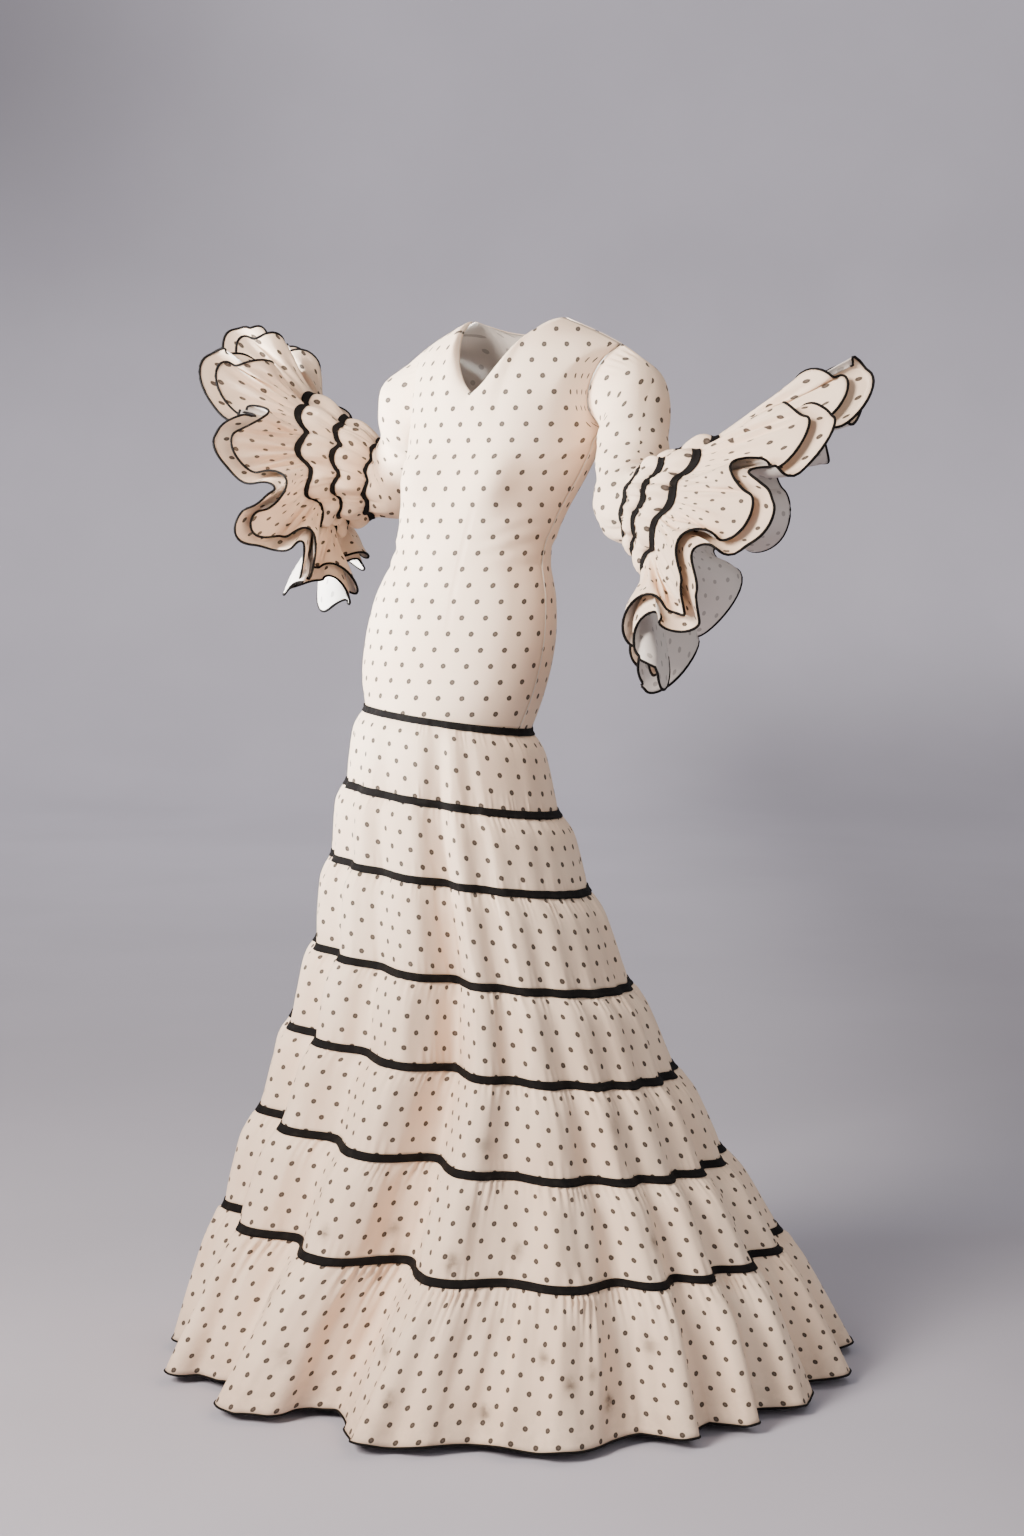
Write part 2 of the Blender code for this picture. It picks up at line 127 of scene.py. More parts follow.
Edge = namedtuple("Edge", "angle x y height")
FRONT_EDGE = (
    Edge(90, 0.150, -0.002, 1.318),
    Edge(80, 0.143, -0.026, 1.326),
    Edge(71, 0.139, -0.040, 1.346),
    Edge(63, 0.142, -0.039, 1.376),
    Edge(56, 0.152, -0.024, 1.408),
    Edge(49, 0.168, 0.000, 1.431),
    Edge(40, 0.137, -0.002, 1.446),
    Edge(32, 0.106, -0.004, 1.459),
    Edge(24, 0.078, -0.006, 1.470),
    Edge(18, 0.062, -0.052, 1.447),
    Edge(12, 0.042, -0.088, 1.412),
    Edge(6, 0.021, -0.108, 1.382),
    Edge(0, 0.000, -0.118, 1.362),
)
BACK_EDGE = (
    Edge(90, 0.150, 0.002, 1.318),
    Edge(100, 0.146, 0.028, 1.328),
    Edge(109, 0.143, 0.044, 1.350),
    Edge(117, 0.147, 0.043, 1.380),
    Edge(124, 0.155, 0.027, 1.410),
    Edge(131, 0.168, 0.003, 1.431),
    Edge(140, 0.137, 0.002, 1.446),
    Edge(149, 0.106, 0.001, 1.459),
    Edge(158, 0.078, 0.000, 1.470),
    Edge(164, 0.066, 0.022, 1.463),
    Edge(170, 0.046, 0.036, 1.456),
    Edge(175, 0.023, 0.044, 1.452),
    Edge(180, 0.000, 0.047, 1.451),
)
CORNERS = (0, 5, 8, 12)
ARMHOLE_POINTS = 6
# How far the cloth has bent towards the shoulder, in each direction
BEND = (0.30, 0.25, 0.95)
# Rows of the bodice's cloth below the armholes and above them, and columns of half a bodice
BODY_ROWS = 56
SHOULDER_ROWS = 28
HALF_COLUMNS = 46

Cuff = namedtuple("Cuff", "x y z face_x face_y face_z high wide wave sag", defaults=(0.0,))
LEFT_SLEEVE = (
    Cuff(0.226, 0.044, 1.346, 0.80, -0.15, -0.52, 0.059, 0.055, 0.0),
    Cuff(0.246, 0.012, 1.300, 0.42, -0.36, -0.83, 0.051, 0.050, 0.0),
    Cuff(0.264, -0.018, 1.254, 0.42, -0.40, -0.80, 0.049, 0.049, 0.0),
    Cuff(0.282, -0.050, 1.214, 0.74, -0.28, -0.42, 0.054, 0.054, 0.0),
)
LEFT_CUFFS = (
    Cuff(0.322, -0.076, 1.208, 0.93, 0.00, -0.16, 0.055, 0.054, 0.003),
    Cuff(0.347, -0.073, 1.206, 0.90, 0.08, -0.28, 0.072, 0.070, 0.006, 0.003),
    Cuff(0.373, -0.065, 1.201, 0.86, 0.22, -0.40, 0.096, 0.093, 0.008, 0.006),
    Cuff(0.440, -0.046, 1.184, 0.79, 0.28, -0.56, 0.204, 0.196, 0.022, 0.026),
)
RIGHT_SLEEVE = (
    Cuff(-0.164, 0.062, 1.344, -0.80, 0.20, -0.52, 0.058, 0.055, 0.0),
    Cuff(-0.180, 0.088, 1.306, -0.55, 0.40, -0.73, 0.051, 0.050, 0.0),
    Cuff(-0.212, 0.112, 1.272, -0.56, 0.36, -0.72, 0.048, 0.048, 0.0),
    Cuff(-0.244, 0.130, 1.245, -0.84, -0.05, -0.22, 0.053, 0.054, 0.0),
)
RIGHT_CUFFS = (
    Cuff(-0.283, 0.130, 1.248, -0.88, -0.36, 0.14, 0.055, 0.054, 0.003),
    Cuff(-0.320, 0.105, 1.262, -0.86, -0.38, 0.00, 0.072, 0.071, 0.006),
    Cuff(-0.349, 0.085, 1.272, -0.88, -0.36, -0.18, 0.096, 0.093, 0.008, 0.006),
    Cuff(-0.374, 0.062, 1.270, -0.90, -0.30, -0.34, 0.182, 0.174, 0.022, 0.024),
)
# Folds of a sleeve's cloth: their heights, and where the elbow is as a share of its length
ELBOW = 0.80
ELBOW_REACH = 0.13
ELBOW_FOLD = 0.0030
ELBOW_FOLDS = 13
ARM_FOLD = 0.0012
CAP_EASE = 0.0008
CAP_GATHERS = 34
CUFF_GATHER = 0.0010
# Columns and rows of the sleeves' cloth
SLEEVE_COLUMNS, SLEEVE_ROWS = 128, 48
CUFF_COLUMNS, CUFF_ROWS = 280, 14
FLOUNCE_COLUMNS, OUTER_ROWS, INNER_ROWS = 480, 26, 28
RUFFLE_WAVES = 10
RUFFLE_PITCH = 0.013
INNER_REACH = 1.18
INNER_DROP = 0.012
OUTER_CURL = 0.0130
INNER_CURL = 0.0125

DOT_PITCH = 0.033
DOT_ROW = 0.044
DOT_RADIUS = 0.0037


# Small mathematics


def mix(a, b, share):
    return a + (b - a) * share


def smooth(x, low=0.0, high=1.0):
    x = np.clip((np.asarray(x, float) - low) / (high - low), 0, 1)
    return x * x * (3 - 2 * x)


def unit(v):
    return v / np.maximum(np.linalg.norm(v, axis=-1, keepdims=True), 1e-12)


def heading(degrees):
    a = np.radians(degrees)
    return np.stack([np.sin(a), -np.cos(a), np.zeros_like(a)], -1)


def ripple(x, seed, low, high, count=7):
    """A smooth uneven wave of size about 1 that repeats when x goes up by 1."""
    rng = np.random.default_rng(seed)
    turns = rng.integers(low, high + 1, count)
    phases = rng.uniform(0, tau, count)
    parts = [np.sin(tau * n * x + p) for n, p in zip(turns, phases)]
    return sum(parts) / (count / 2) ** 0.5


def gathers(x, seed, count):
    """Uneven puckers: narrow ridges with flatter cloth between them."""
    drift = 0.55 * ripple(x, seed, 3, 11) + 0.35 * ripple(x, seed + 1, 12, 34)
    ridge = (0.5 + 0.5 * np.cos(tau * count * x + tau * drift)) ** 1.7
    height = 0.75 + 0.35 * ripple(x, seed + 2, 8, 40)
    return (ridge * 2 - 0.75) * np.clip(height, 0.15, 1.5)


def curve_through(values, places, at):
    """Smooth interpolation of table rows (Catmull-Rom on uneven places)."""
    values = np.asarray(values, float)
    places = np.asarray(places, float)
    slopes = np.gradient(values, places, axis=0)
    at = np.clip(at, places[0], places[-1])
    i = np.clip(np.searchsorted(places, at, "right") - 1, 0, len(places) - 2)
    step = places[i + 1] - places[i]
    t = ((at - places[i]) / step)[:, None]
    step = step[:, None]
    a, b = values[i], values[i + 1]
    m, n = slopes[i] * step, slopes[i + 1] * step
    start = (2 * t**3 - 3 * t**2 + 1) * a + (t**3 - 2 * t**2 + t) * m
    return start + (3 * t**2 - 2 * t**3) * b + (t**3 - t**2) * n


def grid_normals(points, closed):
    """Normals of a grid, rows from the top down. They point out when columns run anticlockwise."""
    if closed:
        across = np.roll(points, -1, 1) - np.roll(points, 1, 1)
    else:
        across = np.gradient(points, axis=1)
    down = np.gradient(points, axis=0)
    return unit(np.cross(down, across))


def smoothed(line, turns=2):
    """A closed line with its smallest bends taken out."""
    for _ in range(turns):
        line = (line * 2 + np.roll(line, 1, 0) + np.roll(line, -1, 0)) / 4
    return line


def run_length(line, closed):
    """Distance along a line of points, with the closing step at the end of a closed one."""
    ends = np.roll(line, -1, 0) if closed else line[1:]
    steps = np.linalg.norm(ends - line[: len(ends)], axis=-1)
    return np.concatenate([[0], np.cumsum(steps)])


# Materials


def node_tree(name):
    made = bpy.data.materials.new(name)
    made.use_nodes = True
    tree = made.node_tree
    return made, tree, tree.nodes["Principled BSDF"]


def add(tree, kind, **settings):
    node = tree.nodes.new(kind)
    for key, value in settings.items():
        setattr(node, key, value)
    return node


def maths(tree, operation, a, b=None):
    node = add(tree, "ShaderNodeMath", operation=operation)
    for socket, value in zip(node.inputs, (a, b)):
        if value is None:
            continue
        if isinstance(value, (int, float)):
            socket.default_value = value
        else:
            tree.links.new(value, socket)
    return node.outputs[0]


def blend_colour(tree, factor, a, b, kind="MIX"):
    node = add(tree, "ShaderNodeMix", data_type="RGBA", blend_type=kind)
    for socket, value in ((node.inputs[0], factor), (node.inputs[6], a), (node.inputs[7], b)):
        if isinstance(value, tuple):
            socket.default_value = (*value, 1.0)
        elif isinstance(value, (int, float)):
            socket.default_value = value
        else:
            tree.links.new(value, socket)
    return node.outputs[2]


def noise(tree, vector, scale, detail=2.0, roughness=0.5):
    node = add(tree, "ShaderNodeTexNoise")
    node.inputs["Scale"].default_value = scale
    node.inputs["Detail"].default_value = detail
    node.inputs["Roughness"].default_value = roughness
    tree.links.new(vector, node.inputs["Vector"])
    return node.outputs["Fac"]


def ramp(tree, value, low, high, from_value=0.0, to_value=1.0):
    node = add(tree, "ShaderNodeMapRange", interpolation_type="SMOOTHSTEP")
    tree.links.new(value, node.inputs["Value"])
    node.inputs["From Min"].default_value = low
    node.inputs["From Max"].default_value = high
    node.inputs["To Min"].default_value = from_value
    node.inputs["To Max"].default_value = to_value
    return node.outputs["Result"]


def lattice_distance(tree, u, v, shift, edge_noise):
    """Distance to the nearest point of one rectangular lattice of dots."""
    parts = []
    for value, pitch in ((u, DOT_PITCH), (v, DOT_ROW)):
        cell = maths(tree, "FRACT", maths(tree, "ADD", maths(tree, "DIVIDE", value, pitch), shift + 20.5))
        parts.append(maths(tree, "MULTIPLY", maths(tree, "SUBTRACT", cell, 0.5), pitch))
    squares = [maths(tree, "MULTIPLY", part, part) for part in parts]
    reach = maths(tree, "SQRT", maths(tree, "ADD", *squares))
    return maths(tree, "ADD", reach, edge_noise)


def add_bump(tree, shader, height, strength, distance):
    bump = add(tree, "ShaderNodeBump")
    bump.inputs["Strength"].default_value = strength
    bump.inputs["Distance"].default_value = distance
    tree.links.new(height, bump.inputs["Height"])
    tree.links.new(bump.outputs["Normal"], shader.inputs["Normal"])


def threads(tree, place, direction, scale, distortion=0.0):
    thread = add(tree, "ShaderNodeTexWave", wave_type="BANDS", bands_direction=direction)
    thread.inputs["Scale"].default_value = scale
    thread.inputs["Distortion"].default_value = distortion
    tree.links.new(place, thread.inputs["Vector"])
    return thread.outputs["Fac"]


def make_cotton(name, cloth, shade, dot_ring, dot_middle, dot_strength, stained):
    """Cotton with small printed dots, in the cloth's own measures, which its UV map holds in metres."""
    made, tree, shader = node_tree(name)
    place = add(tree, "ShaderNodeUVMap", uv_map="cloth").outputs["UV"]
    solid = add(tree, "ShaderNodeTexCoord").outputs["Object"]
    parts = add(tree, "ShaderNodeSeparateXYZ")
    tree.links.new(place, parts.inputs[0])
    u, v = parts.outputs[0], parts.outputs[1]
    wobble = maths(tree, "MULTIPLY", maths(tree, "SUBTRACT", noise(tree, place, 420.0, 1.0), 0.5), 0.0012)
    lattices = [lattice_distance(tree, u, v, shift, wobble) for shift in (0.0, 0.5)]
    near = maths(tree, "MINIMUM", *lattices)
    dot = ramp(tree, near, DOT_RADIUS + 0.0005, DOT_RADIUS - 0.0004)
    middle = ramp(tree, near, DOT_RADIUS * 0.65, DOT_RADIUS * 0.15)
    drift = ramp(tree, noise(tree, solid, 7.0, 3.0), 0.35, 0.65)
    base = blend_colour(tree, drift, cloth, shade)
    fibre = ramp(tree, noise(tree, place, 900.0, 2.0, 0.7), 0.3, 0.7, 0.965, 1.0)
    fibres = add(tree, "ShaderNodeCombineColor")
    for socket in fibres.inputs:
        tree.links.new(fibre, socket)
    base = blend_colour(tree, 1.0, base, fibres.outputs[0], "MULTIPLY")
    if stained:
        stain = add(tree, "ShaderNodeAttribute", attribute_name="stain").outputs["Fac"]
        speck = ramp(tree, noise(tree, place, 60.0, 3.0, 0.55), 0.36, 0.58)
        uneven = maths(tree, "ADD", maths(tree, "MULTIPLY", speck, 0.45), 0.62)
        amount = maths(tree, "MULTIPLY", stain, uneven)
        base = blend_colour(tree, amount, base, (0.110, 0.078, 0.058))
    ink = blend_colour(tree, middle, dot_ring, dot_middle)
    colour = blend_colour(tree, maths(tree, "MULTIPLY", dot, dot_strength), base, ink)
    tree.links.new(colour, shader.inputs["Base Color"])
    rough = ramp(tree, noise(tree, place, 160.0, 2.0), 0.3, 0.7, 0.80, 0.92)
    tree.links.new(rough, shader.inputs["Roughness"])
    shader.inputs["Sheen Weight"].default_value = 0.04
    shader.inputs["Sheen Roughness"].default_value = 0.55
    shader.inputs["Specular IOR Level"].default_value = 0.18
    # The weave: two sets of threads, and small uneven creases
    waves = [threads(tree, place, direction, 320.0, 0.8) for direction in ("X", "Y")]
    weave = maths(tree, "MULTIPLY", maths(tree, "ADD", *waves), 0.5)
    creases = noise(tree, place, 34.0, 4.0, 0.6)
    height = maths(tree, "ADD", maths(tree, "MULTIPLY", weave, 0.12), creases)
    add_bump(tree, shader, height, 0.32, 0.0022)
    return made


def make_tape_material(name, dark, light, ribs):
    """Woven tape with fine ribs across it, a little worn in patches."""
    made, tree, shader = node_tree(name)
    place = add(tree, "ShaderNodeUVMap", uv_map="cloth").outputs["UV"]
    wear = ramp(tree, noise(tree, place, 60.0, 4.0, 0.65), 0.45, 0.80)
    tree.links.new(blend_colour(tree, wear, dark, light), shader.inputs["Base Color"])
    shader.inputs["Roughness"].default_value = 0.80
    shader.inputs["Specular IOR Level"].default_value = 0.14
    add_bump(tree, shader, threads(tree, place, "X", ribs), 0.5, 0.0004)
    return made


def make_mottled_material(name, colour, dark_share, scale, detail, roughness, metallic=0.0):
    """One colour that turns darker in spots, for thread and metal."""
    made, tree, shader = node_tree(name)
    solid = add(tree, "ShaderNodeTexCoord").outputs["Object"]
    spots = noise(tree, solid, scale, detail)
    darker = tuple(c * dark_share for c in colour)
    tree.links.new(blend_colour(tree, spots, darker, colour), shader.inputs["Base Color"])
    shader.inputs["Metallic"].default_value = metallic
    shader.inputs["Roughness"].default_value = roughness
    return made


COTTON = make_cotton(
    "dotted_cotton",
    cloth=(0.880, 0.682, 0.520),
    shade=(0.825, 0.620, 0.462),
    dot_ring=(0.026, 0.019, 0.015),
    dot_middle=(0.080, 0.060, 0.050),
    dot_strength=0.95,
    stained=True,
)
LINING_SIDE = make_cotton(
    "cotton_inside",
    cloth=(0.760, 0.700, 0.655),
    shade=(0.700, 0.640, 0.595),
    dot_ring=(0.240, 0.215, 0.200),
    dot_middle=(0.270, 0.245, 0.230),
    dot_strength=0.60,
    stained=False,
)
TAPE = make_tape_material("black_tape", (0.0045, 0.0036, 0.0036), (0.013, 0.011, 0.010), 260.0)
ZIP = make_tape_material("zip_tape", (0.74, 0.66, 0.58), (0.68, 0.60, 0.53), 200.0)
THREAD = make_mottled_material("cream_thread", (0.83, 0.76, 0.67), 0.72, 900.0, 2.0, 0.5)
METAL = make_mottled_material("zip_metal", (0.62, 0.58, 0.53), 0.8, 300.0, 3.0, 0.34, 1.0)


# Meshes


def grid_mesh(name, points, material, uv, closed, flip=False, stain=None):
    """A sheet through a grid of points, rows from the top down, with its cloth measures as UVs."""
    rows, columns = points.shape[:2]
    across = columns if closed else columns - 1
    i, j = np.meshgrid(np.arange(rows - 1), np.arange(across), indexing="ij")
    i, j = i.ravel(), j.ravel()
    after = (j + 1) % columns
    upper, lower = i * columns, (i + 1) * columns
    corners = np.stack([upper + j, lower + j, lower + after, upper + after], 1)
    wide = uv.shape[1]
    upper, lower = i * wide + j, (i + 1) * wide + j
    marks = np.stack([upper, lower, lower + 1, upper + 1], 1)
    if flip:
        corners, marks = corners[:, ::-1], marks[:, ::-1]
    mesh = bpy.data.meshes.new(name)
    mesh.vertices.add(rows * columns)
    mesh.vertices.foreach_set("co", (points - MOUNT).reshape(-1).astype(np.float32))
    mesh.loops.add(corners.size)
    mesh.loops.foreach_set("vertex_index", corners.reshape(-1).astype(np.int32))
    mesh.polygons.add(len(corners))
    mesh.polygons.foreach_set("loop_start", np.arange(0, corners.size, 4, dtype=np.int32))
    mesh.polygons.foreach_set("loop_total", np.full(len(corners), 4, np.int32))
    mesh.update(calc_edges=True)
    layer = mesh.uv_layers.new(name="cloth")
    layer.data.foreach_set("uv", uv.reshape(-1, 2)[marks.reshape(-1)].reshape(-1).astype(np.float32))
    if stain is not None:
        marked = mesh.attributes.new("stain", "FLOAT", "POINT")
        marked.data.foreach_set("value", stain.reshape(-1).astype(np.float32))
    mesh.shade_smooth()
    mesh.materials.append(material)
    thing = bpy.data.objects.new(name, mesh)
    bpy.context.scene.collection.objects.link(thing)
    return thing


def thicken(thing, wall, inside=None):
    if inside:
        thing.data.materials.append(inside)
    shell = thing.modifiers.new("wall", "SOLIDIFY")
    shell.thickness = wall
    shell.offset = -1.0
    if inside:
        shell.material_offset = 1
        shell.material_offset_rim = 0


def cloth_uv(points, closed, start=(0.0, 0.0)):
    """Cloth measures of a grid: along its lowest row, and down its columns."""
    across = run_length(points[-1], closed)
    down = np.linalg.norm(np.diff(points, axis=0), axis=-1).mean(1)
    down = np.concatenate([[0], np.cumsum(down)])
    u, v = np.meshgrid(across[: points.shape[1] + closed], down)
    return np.stack([start[0] + u, start[1] + v], -1)


def finish_piece(thing, slot, *nodes):
    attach(thing, "root")
    if nodes:
        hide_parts(*nodes)


def cloth_sheet(node, points, uv, closed, flip=False, stain=None):
    """The dotted cloth that stands for one node, with its paler wrong side inside."""
    if stain is None:
        stain = np.zeros(points.shape[:2])
    piece = grid_mesh(f"cloth_{node}", points, COTTON, uv, closed, flip=flip, stain=stain)
    thicken(piece, CLOTH, LINING_SIDE)
    finish_piece(piece, "dotted_cotton", node)
    return piece


def woven_tape(node, line, flip=False):
    """A tape of five rows whose upper edge, middle and lower edge are given."""
    high, middle, low = line
    rows = np.stack([high, mix(high, middle, 0.5), middle, mix(middle, low, 0.5), low])
    piece = grid_mesh(f"woven_{node}", rows, TAPE, cloth_uv(rows, True), True, flip=flip)
    thicken(piece, TAPE_WALL)
    finish_piece(piece, "black_tape", node)


def tube(name, line, radius, material, closed=True, sides=6):
    """A round cord or binding along a line of points."""
    line = np.asarray(line, float)
    ahead = np.roll(line, -1, 0) - np.roll(line, 1, 0) if closed else np.gradient(line, axis=0)
    ahead = unit(ahead)
    up = np.tile([0.0, 0.0, 1.0], (len(line), 1))
    side = unit(np.cross(ahead, up) + 1e-6)
    top = np.cross(side, ahead)
    turns = np.arange(sides) / sides * tau
    around = side[None] * np.cos(turns)[:, None, None] + top[None] * np.sin(turns)[:, None, None]
    points = np.concatenate([line[None] + around * radius, (line + side * radius)[None]], 0)
    lengths = run_length(line, closed)
    u, v = np.meshgrid(lengths[: len(line) + closed], np.arange(sides + 1) * radius)
    thing = grid_mesh(name, points, material, np.stack([u, v], -1), closed)
    weld = thing.modifiers.new("close", "WELD")
    weld.merge_threshold = 0.00001
    return thing


def stitches(name, line, pitch, length, radius, material):
    """A row of short thread stitches along an open line, as one mesh of small six-sided spindles."""
    places = run_length(line, False)
    at = np.arange(pitch, places[-1] - pitch, pitch)
    ends = (at - length / 2, at + length / 2)
    first, last = (np.stack([np.interp(end, places, line[:, k]) for k in range(3)], -1) for end in ends)
    along = unit(last - first)
    side = unit(np.cross(along, [0.0, 0.0, 1.0]) + 1e-6)
    top = np.cross(side, along)
    rings = []
    for share, size in ((0.0, 0.25), (0.25, 1.0), (0.75, 1.0), (1.0, 0.25)):
        middle = mix(first, last, share)
        for k in range(6):
            turn = k / 6 * tau
            rings.append(middle + (side * np.cos(turn) + top * np.sin(turn)) * radius * size)
    points = np.stack(rings, 1).reshape(-1, 3)
    faces = []
    for n in range(len(at)):
        base = n * 24
        for ring in range(3):
            for k in range(6):
                a = base + ring * 6 + k
                b = base + ring * 6 + (k + 1) % 6
                faces.append((a, b, b + 6, a + 6))
        faces.append(tuple(base + k for k in range(5, -1, -1)))
        faces.append(tuple(base + 18 + k for k in range(6)))
    mesh = bpy.data.meshes.new(name)
    mesh.from_pydata((points - MOUNT).tolist(), [], faces)
    mesh.shade_smooth()
    mesh.materials.append(material)
    thing = bpy.data.objects.new(name, mesh)
    bpy.context.scene.collection.objects.link(thing)
    return thing


# Skirt


def trough_angles(fold, height):
    turns, place = np.divmod(fold, FOLDS)
    at_hip = np.array([t.at_hip for t in TROUGHS])[place]
    at_hem = np.array([t.at_hem for t in TROUGHS])[place]
    return mix(at_hem, at_hip, min(height / TURN_HEIGHT, 1.0)) + 360 * turns


def ring_points(ring, around):
    fold = np.floor(around).astype(int)
    share = around - fold
    angle = mix(trough_angles(fold, ring.height), trough_angles(fold + 1, ring.height), share)
    out = heading(angle)
    reach = 1.0 / ((out[:, 0] / ring.half_width) ** 2 + (out[:, 1] / ring.half_depth) ** 2) ** 0.5
    depth = np.array([t.depth * ring.fold**t.late for t in TROUGHS])
    for trough, distance in ((fold, share), (fold + 1, 1 - share)):
        shape = np.cos(np.minimum(distance / TROUGH_REACH, 1.0) * pi / 2) ** 2
        reach = reach - depth[trough % FOLDS] * shape
    drop = ring.dip * reach * (out @ heading(DIP_ANGLE))
    points = out * reach[:, None] + [ring.x, ring.y, ring.height]
    points[:, 2] -= drop
    return points


def even_columns(ring, count):
    """Places along the folds that are evenly spaced on the cloth of a ring."""
    fine = np.arange(FOLDS * 60) / 60
    lengths = run_length(ring_points(ring, fine), True)
    target = np.arange(count) / count * lengths[-1]
    return np.interp(target, lengths, np.append(fine, FOLDS))


# Smudges on the lower tiers: angle in plan, height above the floor, size across and how dark
Smudge = namedtuple("Smudge", "angle height size dark")
SMUDGES = (
    Smudge(23, 0.23, 0.014, 1.0),
    Smudge(36, 0.24, 0.011, 0.8),
    Smudge(5, 0.25, 0.012, 0.6),
    Smudge(-5, 0.25, 0.011, 0.8),
    Smudge(44, 0.09, 0.014, 0.8),
    Smudge(40, 0.12, 0.012, 0.7),
    Smudge(51, 0.06, 0.012, 1.0),
    Smudge(48, 0.10, 0.012, 0.6),
    Smudge(12, 0.12, 0.014, 0.7),
    Smudge(15, 0.07, 0.011, 0.9),
    Smudge(-18, 0.15, 0.020, 0.4),
    Smudge(-22, 0.05, 0.012, 0.7),
    Smudge(-8, 0.09, 0.020, 0.4),
    Smudge(30, 0.05, 0.012, 0.8),
    Smudge(60, 0.12, 0.014, 0.6),
    Smudge(66, 0.24, 0.012, 0.7),
    Smudge(78, 0.10, 0.014, 0.6),
    Smudge(28, 0.37, 0.016, 0.5),
    Smudge(64, 0.38, 0.016, 0.4),
    Smudge(-44, 0.10, 0.018, 0.5),
    Smudge(-60, 0.06, 0.018, 0.4),
    Smudge(130, 0.08, 0.018, 0.7),
    Smudge(155, 0.10, 0.014, 0.6),
    Smudge(182, 0.06, 0.020, 0.7),
    Smudge(206, 0.12, 0.014, 0.6),
    Smudge(232, 0.07, 0.016, 0.6),
    Smudge(-100, 0.09, 0.014, 0.6),
)


def stain_at(points):
    ring = SKIRT[-1]
    angle = np.degrees(np.arctan2(points[..., 0] - ring.x, -(points[..., 1] - ring.y)))
    reach = np.hypot(points[..., 0] - ring.x, points[..., 1] - ring.y)
    found = 0.20 * smooth(-points[..., 2], -0.10, -0.012)
    for smudge in SMUDGES:
        off = (angle - smudge.angle + 180) % 360 - 180
        across = np.radians(off) * reach
        up = points[..., 2] - smudge.height
        found = found + smudge.dark * np.exp(-(across**2 + (up * 0.8) ** 2) / (smudge.size * 0.62) ** 2)
    return np.clip(found, 0, 1)


def tier_grid(number):
    """The cloth of one tier, with its puff, its rolling folds and its puckers."""
    tier = TIERS[number]
    upper, lower = SKIRT[number], SKIRT[number + 1]
    around = even_columns(lower, tier.columns)
    top, bottom = ring_points(upper, around), ring_points(lower, around)
    along = np.linspace(0, 1, tier.rows + 1) ** 1.15
    centre = mix(np.array([upper.x, upper.y, 0]), np.array([lower.x, lower.y, 0]), along[:, None, None])
    points = mix(top[None], bottom[None], along[:, None, None])
    out = points - centre
    out[..., 2] = 0
    out = unit(out)
    rising = 1 - (1 - np.clip(along / PUFF_AT, 0, 1)) ** 2
    last = number == len(TIERS) - 1
    drop = 0.9 if last else 1.0
    falling = 1 - drop * np.clip((along - PUFF_AT) / (1 - PUFF_AT), 0, 1) ** 1.3
    points = points + out * (PUFF * rising * falling)[:, None, None]
    normal = grid_normals(points, True)
    lengths = run_length(bottom, True)
    place = lengths[:-1] / lengths[-1]
    seed = 40 + number * 10
    hold = smooth(along, *PUCKERS_BEGIN)
    low_hold = np.ones_like(along) if last else 1 - smooth(along, *NEXT_SEAM)
    roll_count = round(lengths[-1] / ROLL_PITCH)
    roll = ripple(place, seed + 5, max(roll_count - 9, 5), roll_count + 9, 9)
    roll += 0.16 * ripple(place, seed + 6, 2 * roll_count, 3 * roll_count, 9)
    body = smooth(along, 0.0, 0.35) * (low_hold * 0.75 + 0.25)
    move = tier.roll_height * ROLL_SHARE * roll[None] * body[:, None]
    pucker_count = round(lengths[-1] / tier.pucker_pitch)
    reach = tier.pucker_reach * (1 + 0.60 * ripple(place, seed + 7, 20, 70))
    fade = np.exp(-np.clip(along[:, None] - 0.05, 0, 1) / np.maximum(reach[None], 0.05) * 1.6)
    move = move + tier.pucker_height * gathers(place, seed, pucker_count)[None] * fade * hold[:, None]
    groove = ripple(place, seed + 11, round(roll_count * 1.1), round(roll_count * 1.9), 9)
    groove = np.clip(groove - 0.75, 0, 1.4)
    groove_reach = GROOVE_REACH * (1 + 0.5 * ripple(place, seed + 12, 9, 30))
    groove_fade = np.exp(-((along[:, None] / np.maximum(groove_reach[None], 0.12)) ** 2))
    move = move - tier.pucker_height * GROOVE_SHARE * groove[None] * groove_fade * hold[:, None]
    if not last:
        pull = smooth(along, 0.72, 0.93) * (1 - smooth(along, 0.94, 1.0))
        low_puckers = gathers(place, seed + 20, round(pucker_count * 0.9))
        move = move + SEAM_PULL * low_puckers[None] * pull[:, None]
    else:
        sway = ripple(place, seed + 9, 26, 52, 9)
        move = move + HEM_SWAY * sway[None] * smooth(along, 0.4, 1.0)[:, None]
    return points + normal * move[..., None], around, along


def make_skirt():
    pieces = []
    for number in range(len(TIERS)):
        points, around, along = tier_grid(number)
        name = f"skirt_tier_{number + 1}"
        uv = cloth_uv(points, True, start=(0.011 * number, 0.017 * number))
        piece = cloth_sheet(name, points, uv, True, stain=stain_at(points))
        pieces.append((points, around, along))
    for number in range(len(TIERS)):
        make_skirt_tape(number, pieces[number - 1] if number else None, pieces[number])
    make_piping(pieces[-1][0])


def nearest_rows(points, along, around, wanted, at):
    """Points of a tier's cloth at some share of its height, at wanted places along the folds."""
    row = np.interp(at, along, np.arange(len(along)))
    low = int(row)
    high = min(low + 1, len(along) - 1)
    line = mix(points[low], points[high], row - low)
    extended = np.append(around, FOLDS)
    line = np.concatenate([line, line[:1]])
    return np.stack([np.interp(wanted, extended, line[:, k]) for k in range(3)], -1)


